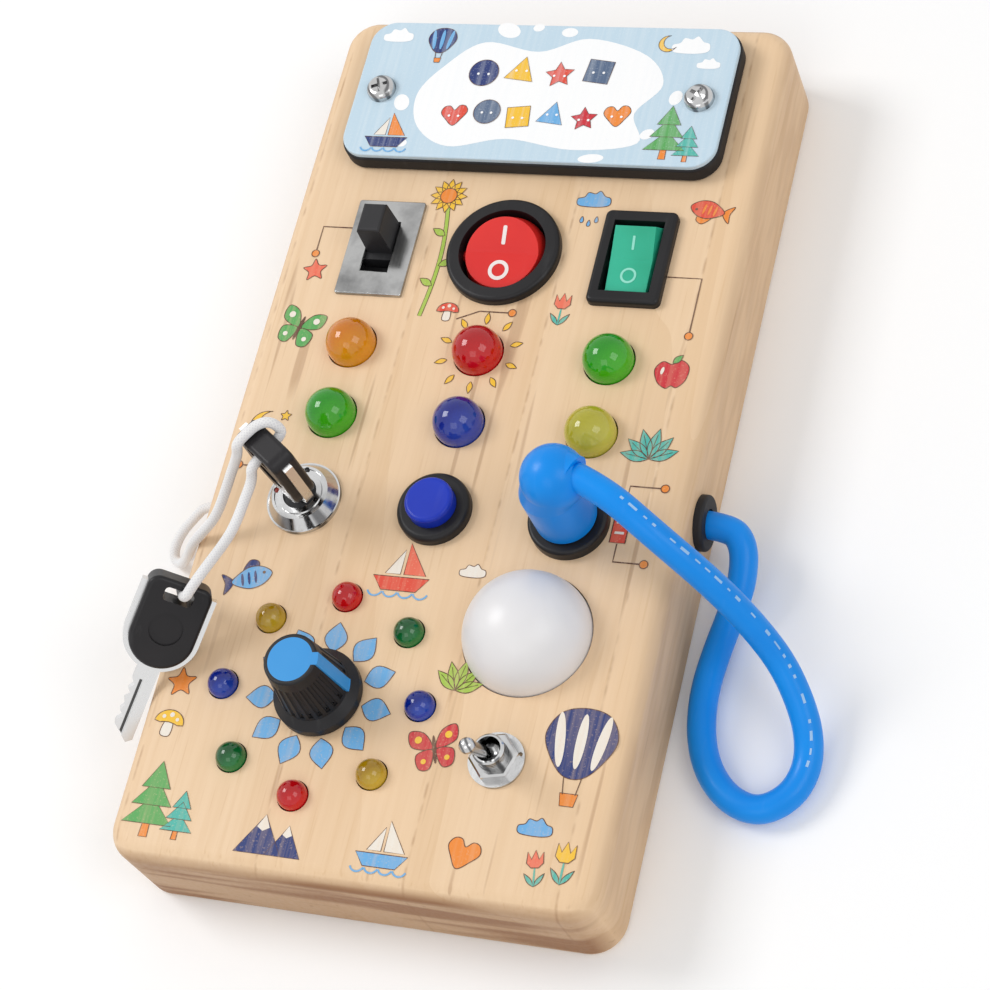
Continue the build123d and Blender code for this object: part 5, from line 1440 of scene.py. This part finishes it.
@dataclass
class KeyCord:
    """White cord from the case's side through both key heads, with a knot at each end."""
    diameter: float = 2.0
    knot: float = 3.4
    knot_share: float = 0.62
    knot_steps: int = 48
    strand_share: float = 0.27
    route: tuple[Space, ...] = (
        (-39.0, -17.4, 11.0), (-46.0, -17.4, 11.0), (-52.4, -17.0, 10.6), (-55.4, -19.0, 8.4),
        (-58.8, -20.6, 5.2), (-60.9, -22.8, 2.6), (-61.2, -24.8, 1.15), (-59.5, -26.1, 1.2),
        (-56.9, -26.8, 4.6), (-53.2, -28.0, 10.5), (-49.7, -29.3, 16.6), (-47.1, -29.5, 20.8),
        (-44.7, -28.3, 23.0), (-42.5, -27.0, 24.8), (-40.7, -25.4, 26.8), (-38.6, -22.9, 30.2),
        (-36.7, -20.7, 33.6), (-34.8, -19.5, 36.8), (-32.51, -19.72, 41.2), (-31.42, -19.75, 44.6),
        (-29.42, -16.88, 44.8), (-28.28, -15.6, 44.75), (-26.65, -14.67, 44.5), (-25.15, -14.62, 43.1),
        (-24.61, -15.24, 40.9), (-29.37, -22.04, 40.75), (-29.95, -23.22, 37.4), (-31.5, -26.5, 35.2),
        (-32.3, -30.2, 34.2), (-33.2, -34.1, 34.0), (-34.76, -41.99, 36.56), (-36.57, -44.65, 35.46),
        (-38.46, -47.49, 33.93), (-42.65, -42.1, 28.54))

    def build(self) -> None:
        """Makes the cord and its two end knots."""
        path = spline_path(self.route)
        cord = tube("white_key_cord", path, self.diameter * MM / 2, finish(Finish.CORD), 16)
        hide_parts("key_cord")
        knots = [self.make_knot("cord_end_knot", Vector(self.route[-1]) * MM),
                 self.make_knot("cord_inner_knot", Vector(self.route[0]) * MM)]
        for knot in knots:
            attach(knot, "board")
        along(path)[-1]
        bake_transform(cord)
        LOG.info("key cord: %.0f mm", along(path)[-1] / MM)

    def make_knot(self, name: str, at: Vector) -> Object:
        """A small overhand knot.

        Args:
            name: the piece's name.
            at: its centre, in metres.
        Returns:
            The new piece.
        """
        reach = self.knot * MM / 2 * self.knot_share
        wide, lobe, tall = 0.62, 0.9, 0.7
        turns = (FULL_TURN * k / self.knot_steps for k in range(self.knot_steps + 1))
        loop = [at + reach * Vector((wide * (math.sin(t) + lobe * math.sin(2 * t)),
                                     wide * (math.cos(t) - lobe * math.cos(2 * t)),
                                     -tall * math.sin(3 * t))) for t in turns]
        return tube(name, loop, self.diameter * MM * self.strand_share, finish(Finish.CORD), 10)


@dataclass
class BlueCable:
    """Blue cable from the plug to the case's side, with plain light dashes along it."""
    diameter: float = 5.3
    dashes_from: float = 0.010
    dashes_to: float = 0.072
    dash_lift: float = 0.00003
    dash_lengths: tuple[float, ...] = (0.0007, 0.0012, 0.0018)
    dash_widths: tuple[float, ...] = (0.35, 0.5, 0.6)
    dash_gaps: tuple[float, ...] = (0.0011, 0.0014, 0.0030)
    dash_side: Space = (0.30, 0.10, 0.9)
    seed: int = 4
    route: tuple[Space, ...] = (
        (32.2, -18.0, 39.3), (36.2, -19.6, 39.0), (41.1, -22.1, 38.2), (46.2, -25.2, 36.2),
        (50.8, -27.6, 32.8), (55.3, -29.6, 28.2), (59.8, -31.8, 22.8), (64.3, -34.6, 17.2),
        (68.5, -38.2, 12.0), (71.8, -43.2, 7.8), (74.0, -48.5, 4.7), (74.4, -54.3, 3.0),
        (72.2, -59.8, 2.7), (67.2, -63.2, 2.7), (61.4, -61.7, 2.7), (56.5, -56.8, 2.7),
        (53.6, -50.0, 2.7), (52.6, -41.6, 2.75), (53.5, -33.6, 3.2), (55.2, -26.6, 4.6),
        (56.6, -20.6, 6.8), (56.2, -14.6, 9.2), (52.8, -11.5, 10.3), (41.0, -11.5, 10.3))

    def build(self) -> None:
        """Makes the cable and the dashes."""
        path = spline_path(self.route)
        cable = tube("blue_cable_jacket", path, self.diameter * MM / 2, finish(Finish.JACKET_BLUE), 28)
        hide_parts("blue_cable")
        along(path)[-1]
        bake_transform(cable)
        dashes = self.dashes(path)
        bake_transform(dashes)
        LOG.info("blue cable: %.0f mm", along(path)[-1] / MM)

    def dashes(self, path: Sequence[Vector]) -> Object:
        """Short printed dashes that follow the jacket.

        Args:
            path: the cable's centre line.
        Returns:
            The dashes as one piece.
        """
        draw = random.Random(self.seed)
        points: list[Vector] = []
        faces: list[Face] = []
        start = self.dashes_from
        while start < self.dashes_to:
            length = draw.choice(self.dash_lengths)
            wide = draw.choice(self.dash_widths)
            base = len(points)
            for row in range(4):
                points += self.across(path, start + length * row / 3, wide)
            for a in (base + row * 3 + column for row in range(3) for column in range(2)):
                faces.append((a, a + 3, a + 4, a + 1))
            start += length + draw.choice(self.dash_gaps)
        return add_piece("cable_dashes", points, faces, finish(Finish.MARK_PALE))

    def across(self, path: Sequence[Vector], at: float, wide: float) -> list[Vector]:
        """Three points across a dash, on the jacket.

        Args:
            path: the cable's centre line.
            at: how far along it, in metres.
            wide: the dash's width, in millimetres.
        Returns:
            The points, in metres.
        """
        outer = self.diameter * MM / 2 + self.dash_lift
        spans = along(path)
        k = next(i for i in range(1, len(spans)) if spans[i] >= at)
        centre = path[k - 1].lerp(path[k], (at - spans[k - 1]) / (spans[k] - spans[k - 1]))
        ahead = (path[k] - path[k - 1]).normalized()
        up = Vector(self.dash_side)
        up = (up - ahead * up.dot(ahead)).normalized()
        other = ahead.cross(up)
        angles = (column * wide * MM / 2 / outer for column in (-1, 0, 1))
        return [centre + (up * math.cos(a) + other * math.sin(a)) * outer for a in angles]


# ---------------------------------------------------------------- controls
class Case(Assembly):
    """Wooden case, its cover and fasteners."""
    looks = {"wooden_case": Finish.PINE, "back_cover": Finish.PLYWOOD,
             "back_cover_screws": Finish.SCREW_STEEL}


class Inside(Assembly):
    """Everything behind the front."""
    looks = {
        "battery_box": Finish.BLACK_MATTE, "battery_door": Finish.BLACK_MATTE,
        "battery_door_screw": Finish.SCREW_STEEL, "battery_contacts": Finish.SPRING_STEEL,
        "batteries": Finish.CELLS, "control_board": Finish.CIRCUIT, "board_standoffs": Finish.NYLON,
        "board_screws": Finish.SCREW_STEEL, "wiring": Finish.WIRE_RED, "switch_terminals": Finish.BRASS,
        "lamp_leads": Finish.SPRING_STEEL, "dome_lamp": Finish.NYLON, "panel_nuts": Finish.SCREW_STEEL,
        "slide_switch_body": Finish.BLACK_MATTE, "knob_shaft": Finish.SCREW_STEEL,
        "potentiometer_body": Finish.SPRING_STEEL, "potentiometer_nut": Finish.SCREW_STEEL,
    }


@dataclass(frozen=True)
class RockerMarks:
    """The bar and the ring on a rocker's two halves, which tilt with it.

    Sizes are in millimetres, angles in degrees.
    """
    body: str
    centre: Space
    mark: Finish
    bar: tuple[float, float]
    ring: tuple[float, float]
    reach: float
    tilt: float = 11.5
    half_slope: float = 5.0
    valley: float = 3.4
    lift: float = 0.05

    def build(self) -> None:
        """Makes both marks."""
        for name, band, side in (("bar", self.bar_band(), 1), ("ring", self.ring_band(), -1)):
            points = [self.on_slope(place, side) for place in band]
            made = add_piece(f"{self.body}_{name}", points, self.quads(len(band) // 2), finish(self.mark))
            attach(made, self.body)

    def on_slope(self, place: Space, side: int) -> Vector:
        """A point on one half of the tilted cap.

        Args:
            place: across the cap, up the slope from the mark's middle, and above the slope.
            side: 1 for the upper half, -1 for the lower one.
        Returns:
            The point, in metres.
        """
        away = self.reach + side * place[1]
        z = self.valley + away * math.tan(math.radians(self.half_slope)) + place[2]
        turn = Matrix.Translation(Vector(self.centre) * MM) @ Matrix.Rotation(math.radians(self.tilt), 4, "X")
        return turn @ (Vector((place[0], side * away, z)) * MM)

    @staticmethod
    def quads(count: int) -> list[Face]:
        """Faces of a closed band of inner and outer points."""
        n = 2 * count
        return [(2 * k, 2 * k + 1, (2 * k + 3) % n, (2 * k + 2) % n) for k in range(count)]

    def bar_band(self) -> list[Space]:
        """A long bar with rounded corners, from its middle outwards.

        Returns:
            Its inner and outer points in turn.
        """
        square_wide, square_tall, middle, crown = 1.4, 1.25, 0.02, 0.01
        band: list[Space] = []
        for a in (FULL_TURN * k / 24 for k in range(24)):
            x = self.bar[0] / 2 * max(-1, min(1, square_wide * math.cos(a)))
            y = self.bar[1] / 2 * max(-1, min(1, square_tall * math.sin(a)))
            band += [(x * middle, y * middle, self.lift + crown), (x, y, self.lift)]
        return band

    def ring_band(self) -> list[Space]:
        """A ring.

        Returns:
            Its inner and outer points in turn.
        """
        outer, inner = self.ring
        return [(wide / 2 * math.cos(a), wide / 2 * math.sin(a), self.lift)
                for a in (FULL_TURN * k / 36 for k in range(36)) for wide in (inner, outer)]


class SwitchRow(Assembly):
    """Slide switch and the two rockers."""
    looks = {"slide_switch_plate": Finish.PLATE_CHROME, "slide_switch_knob": Finish.SLIDE_GREY,
             "round_rocker_housing": Finish.BLACK_SATIN, "square_rocker_housing": Finish.BLACK_SATIN,
             "round_rocker_cap": Finish.ROCKER_RED, "square_rocker_cap": Finish.ROCKER_GREEN}
    marks = (RockerMarks("round_rocker", (0.0, 37.4, 18.8), Finish.MARK_WHITE, bar=(0.8, 3.8),
                         ring=(4.2, 2.7), reach=3.6),
             RockerMarks("square_rocker", (26.4, 37.4, 18.8), Finish.MARK_MINT, bar=(0.5, 2.8),
                         ring=(3.2, 2.3), reach=3.3))

    def build(self) -> None:
        """Dresses the row and marks the rockers."""
        super().build()
        for rocker in self.marks:
            rocker.build()


class Lamps(Assembly):
    """Every lamp dome on the front."""
    looks = {
        "big_lamp_orange": Finish.LENS_ORANGE, "big_lamp_red": Finish.LENS_RED,
        "big_lamps_green": Finish.LENS_GREEN, "big_lamp_blue": Finish.LENS_BLUE,
        "big_lamp_yellow": Finish.LENS_YELLOW, "small_lamps_red": Finish.LENS_RED,
        "small_lamps_green": Finish.LENS_DEEP_GREEN, "small_lamps_blue": Finish.LENS_DEEP_BLUE,
        "small_lamps_gold": Finish.LENS_GOLD, "dome_lens": Finish.LENS_MILK,
    }


@dataclass(frozen=True)
class KeyBlade:
    """A key's blade: where it lies, and a dark sheet of painted shade on the groove's floor on both its
    faces.

    The blade starts at the middle of the head's lower edge and has a direction across it and one
    up along it. Sizes are in millimetres.
    """
    name: str
    body: str
    origin: Space
    across: Space
    up: Space
    groove_aside: float = 0.5
    groove_half: float = 0.26
    groove_top: float = -3.3
    groove_out: float = 0.49
    groove_foot: float = -15.5
    tip_foot: float = -15.85
    tip_slope: float = 0.968

    def at(self, x: float, v: float, out: float) -> Vector:
        """A point of the key.

        Args:
            x: across the key.
            v: up along the key.
            out: out of its face.
        Returns:
            The point in the board's frame, in metres.
        """
        side, along_it = Vector(self.across).normalized(), Vector(self.up).normalized()
        return (Vector(self.origin) + side * x + along_it * v + side.cross(along_it) * out) * MM

    def foot(self, x: float) -> float:
        """How far down a groove reaches at a place across the blade, short of its slanted tip."""
        return max(self.groove_foot, self.tip_foot + (1.0 - x) * self.tip_slope)

    def shade_groove(self) -> None:
        """Makes the groove's painted shade: a dark sheet on its floor."""
        points: list[Vector] = []
        for way in (-1, 1):
            middle = self.groove_aside * way
            left, right = middle - self.groove_half, middle + self.groove_half
            for x, v in ((left, self.foot(left)), (right, self.foot(right)), (right, self.groove_top),
                         (left, self.groove_top)):
                points.append(self.at(x, v, -way * self.groove_out))
        made = add_piece(self.name, points, [(0, 1, 2, 3), (7, 6, 5, 4)], finish(Finish.GROOVE_STEEL))
        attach(made, self.body)


@dataclass
class KeyLock(Assembly):
    """Lock, its index dots and the two keys."""
    looks = {"key_lock_housing": Finish.CHROME, "key_lock_rotor": Finish.SLIDE_GREY,
             "key_1_blade": Finish.KEY_STEEL, "key_2_blade": Finish.KEY_STEEL,
             "key_1_grip": Finish.BLACK_GRIP, "key_2_grip": Finish.BLACK_GRIP}
    centre: Space = (-26.96, -18.6, 23.6)
    dot_reach: float = 4.85
    dot_sides: int = 18
    dot_rings: tuple[tuple[float, float], ...] = ((0.3, -0.13), (0.52, -0.22))
    dot_top: float = -0.1
    dots: tuple[tuple[str, float, Finish], ...] = (
        ("lock_dot_dark", 88.0, Finish.BLACK_SATIN), ("lock_dot_red", 178.0, Finish.DOT_RED))
    blades: tuple[KeyBlade, ...] = (
        KeyBlade("key_1_groove_shade", "key", (-26.96, -18.6, 26.1), (-0.81915204, 0.57357644, 0.0),
                 (0.0, 0.0, 1.0)),
        KeyBlade("key_2_groove_shade", "board", (-46.479, -56.438, 24.444), (0.7943, 0.0102, -0.6074),
                 (0.370, 0.7849, 0.497)))

    def build(self) -> None:
        """Dresses the lock and the keys, fills the index dots and lays painted shade in the grooves."""
        super().build()
        for name, angle, look in self.dots:
            self.dot(name, angle, look)
        for blade in self.blades:
            blade.shade_groove()

    def dot(self, name: str, angle: float, look: Finish) -> None:
        """A drop of paint in one of the lock's dimples.

        Args:
            name: the piece's name.
            angle: where it is round the lock, in degrees.
            look: its finish.
        """
        n = self.dot_sides
        x, y = turned((self.dot_reach, 0), angle)
        at = Vector(self.centre) + Vector((x, y, 0))
        points = [(at + Vector((0, 0, self.dot_top))) * MM]
        for radius, lift in self.dot_rings:
            points += [(at + Vector((dx, dy, lift))) * MM for dx, dy in disc(radius, count=n)]
        faces: list[Face] = []
        for k in range(n):
            a, b = 1 + k, 1 + (k + 1) % n
            faces += [(0, a, b), (a, n + a, n + b, b)]
        made = add_piece(name, points, faces, finish(look), True)
        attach(made, "board")


@dataclass
class PlugAndButton(Assembly):
    """Push button with its return spring, socket, plug and the cable's grommet."""
    looks = {
        "push_button_housing": Finish.BLACK_SATIN, "push_button_cap": Finish.BUTTON_BLUE,
        "socket_housing": Finish.BLACK_SATIN, "plug_body": Finish.PLUG_BLUE, "plug_pin": Finish.CHROME,
        "cable_grommet": Finish.BLACK_MATTE,
    }
    spring_foot: Space = (-0.1, -18.6, 9.0)
    spring_high: float = 8.0
    spring_wide: float = 6.4
    spring_wire: float = 0.7
    spring_turns: int = 5
    steps_a_turn: int = 24
    press: float = 2.2
    spare: float = 0.005

    def build(self) -> None:
        """Dresses the nodes and makes the spring."""
        super().build()
        self.spring()

    def spring(self) -> None:
        """The return spring, which rides on the board."""
        x, y, z = self.spring_foot
        reach = (self.spring_wide - self.spring_wire) / 2
        steps = self.steps_a_turn * self.spring_turns
        rise = self.spring_high - self.spring_wire
        path: list[Vector] = []
        for k in range(steps + 1):
            a = FULL_TURN * k / self.steps_a_turn
            high = z + self.spring_wire / 2 + rise * k / steps
            path.append(Vector((x + reach * math.cos(a), y + reach * math.sin(a), high)) * MM)
        coil = tube("button_return_spring", path, self.spring_wire * MM / 2, finish(Finish.SPRING_STEEL), 10)
        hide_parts("push_button_spring")
        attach(coil, "board")
        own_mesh(coil)


class Toggle(Assembly):
    """Toggle switch."""
    looks = {"toggle_housing": Finish.CHROME, "toggle_washer": Finish.SCREW_STEEL,
             "toggle_nut": Finish.CHROME, "toggle_lever": Finish.CHROME}


class Knob(Assembly):
    """Rotary knob."""
    looks = {"knob_body": Finish.KNOB_BLACK, "knob_cap": Finish.SKY_BLUE}


# ---------------------------------------------------------------- studio
@dataclass(frozen=True)
class SoftLight:
    """A square soft light that faces the board. Sizes are in metres, power in watts."""
    name: str
    at: Space
    side: float
    power: float
    aim: Space = (0.0, 0.0, 0.02)

    def build(self) -> None:
        """Puts up the light."""
        data = bpy.data.lights.new(self.name, "AREA")
        data.shape = "SQUARE"
        data.size = self.side
        data.energy = self.power
        made = bpy.data.objects.new(self.name, data)
        made.location = self.at
        made.rotation_euler = (Vector(self.aim) - Vector(self.at)).to_track_quat("-Z", "Y").to_euler()
        bpy.context.scene.collection.objects.link(made)


@dataclass
class Studio:
    """Camera, floor and soft light. Sizes are in metres."""
    eye: Space = (0.195748, -0.221718, 0.458076)
    right: Space = (0.93072426, 0.22875159, -0.28535078)
    down: Space = (0.07886048, -0.88741396, -0.45417781)
    ahead: Space = (-0.35711816, 0.40021141, -0.84397716)
    lens: float = 101.8
    floor_half: float = 3.0
    floor_drop: float = 0.0003
    hole_half: tuple[float, float] = (0.0435, 0.0885)
    fade: tuple[float, float] = (0.22, 0.75)
    ambient: float = 0.59
    white: Colour = (1.0, 1.0, 1.0)
    lights: tuple[SoftLight, ...] = (
        SoftLight("key_light", (-0.72, 0.12, 0.84), 0.42, 4.4),
        SoftLight("fill_light", (0.80, -0.15, 0.85), 0.6, 2.4),
        SoftLight("low_light", (0.05, -0.75, 0.75), 0.5, 0.9))

    def build(self) -> None:
        """Puts up the studio."""
        self.camera()
        self.floor()
        self.world()
        for light in self.lights:
            light.build()
        bpy.context.scene.view_settings.view_transform = "Standard"

    def camera(self) -> None:
        """The main camera."""
        data = bpy.data.cameras.new("main_camera")
        data.sensor_width = 36.0
        data.lens = self.lens
        data.clip_start, data.clip_end = 0.01, 20.0
        made = bpy.data.objects.new("main_camera", data)
        turn = Matrix((self.right, [-v for v in self.down], [-v for v in self.ahead])).transposed().to_4x4()
        made.matrix_world = Matrix.Translation(self.eye) @ turn
        bpy.context.scene.collection.objects.link(made)
        bpy.context.scene.camera = made

    def floor(self) -> None:
        """A wide pale floor that fades to white and is open under the board and from below."""
        w, shader, material = blank("pale_floor")
        tone = w.mix(w.remap(w.noise(6.0, detail=2.0), 0.3, 0.7), (0.93, 0.93, 0.935), (0.95, 0.95, 0.95))
        reach = w.node("VectorMath", operation="LENGTH")
        w.join(w.place(), reach.inputs[0])
        far = w.times(w.remap(reach.outputs["Value"], *self.fade), self.looked_at(w))
        near = w.mix(self.looked_at(w), tone, self.white)
        w.join(w.mix(far, near, (0.0, 0.0, 0.0)), shader.inputs["Base Color"])
        w.feed(self.white, shader.inputs["Emission Color"])
        w.join(far, shader.inputs["Emission Strength"])
        shader.inputs["Roughness"].default_value = 0.8
        shader.inputs["Specular IOR Level"].default_value = 0.2
        either = w.node("MixShader")
        w.join(w.node("NewGeometry").outputs["Backfacing"], either.inputs[0])
        w.join(shader.outputs[0], either.inputs[1])
        w.join(w.node("BsdfTransparent").outputs[0], either.inputs[2])
        w.join(either.outputs[0], material.node_tree.nodes["Material Output"].inputs["Surface"])
        signs = ((-1, -1), (1, -1), (1, 1), (-1, 1))
        edges = ((self.floor_half, self.floor_half), self.hole_half)
        corners = [Vector((x * half_w, y * half_l, -self.floor_drop))
                   for half_w, half_l in edges for x, y in signs]
        faces = [(k, (k + 1) % 4, 4 + (k + 1) % 4, 4 + k) for k in range(4)]
        add_piece("pale_floor", corners, faces, material)

    @staticmethod
    def looked_at(w: Wires) -> NodeSocket:
        """1 for a ray that is seen directly, in a mirror or through glass, else 0.

        Args:
            w: the wires of the tree that asks.
        Returns:
            The socket that says so.
        """
        rays = w.node("LightPath")
        seen = w.maths("MAXIMUM", rays.outputs["Is Camera Ray"], rays.outputs["Is Transmission Ray"])
        return w.maths("MAXIMUM", seen, rays.outputs["Is Glossy Ray"])

    def world(self) -> None:
        """Plain ambient light, and white for what looks at it."""
        made = bpy.data.worlds.new("studio_world")
        made.use_nodes = True
        w = Wires(made.node_tree)
        back = made.node_tree.nodes["Background"]
        w.join(w.plus(w.times(self.looked_at(w), 1 - self.ambient), self.ambient), back.inputs["Strength"])
        w.feed(self.white, back.inputs["Color"])
        bpy.context.scene.world = made


def main() -> None:
    """Builds every sub-assembly in order."""
    logging.basicConfig(level=logging.INFO, format="%(name)s: %(message)s")
    builders = [Studio(), Case(), Inside(), BlueCable(), KeyCord(), NamePlate(), PrintedFront(), SwitchRow(),
                Lamps(), KeyLock(), PlugAndButton(), Toggle(), Knob()]
    for builder in builders:
        builder.build()
        LOG.info("%s done", type(builder).__name__)


if __name__ == "__main__":
    main()
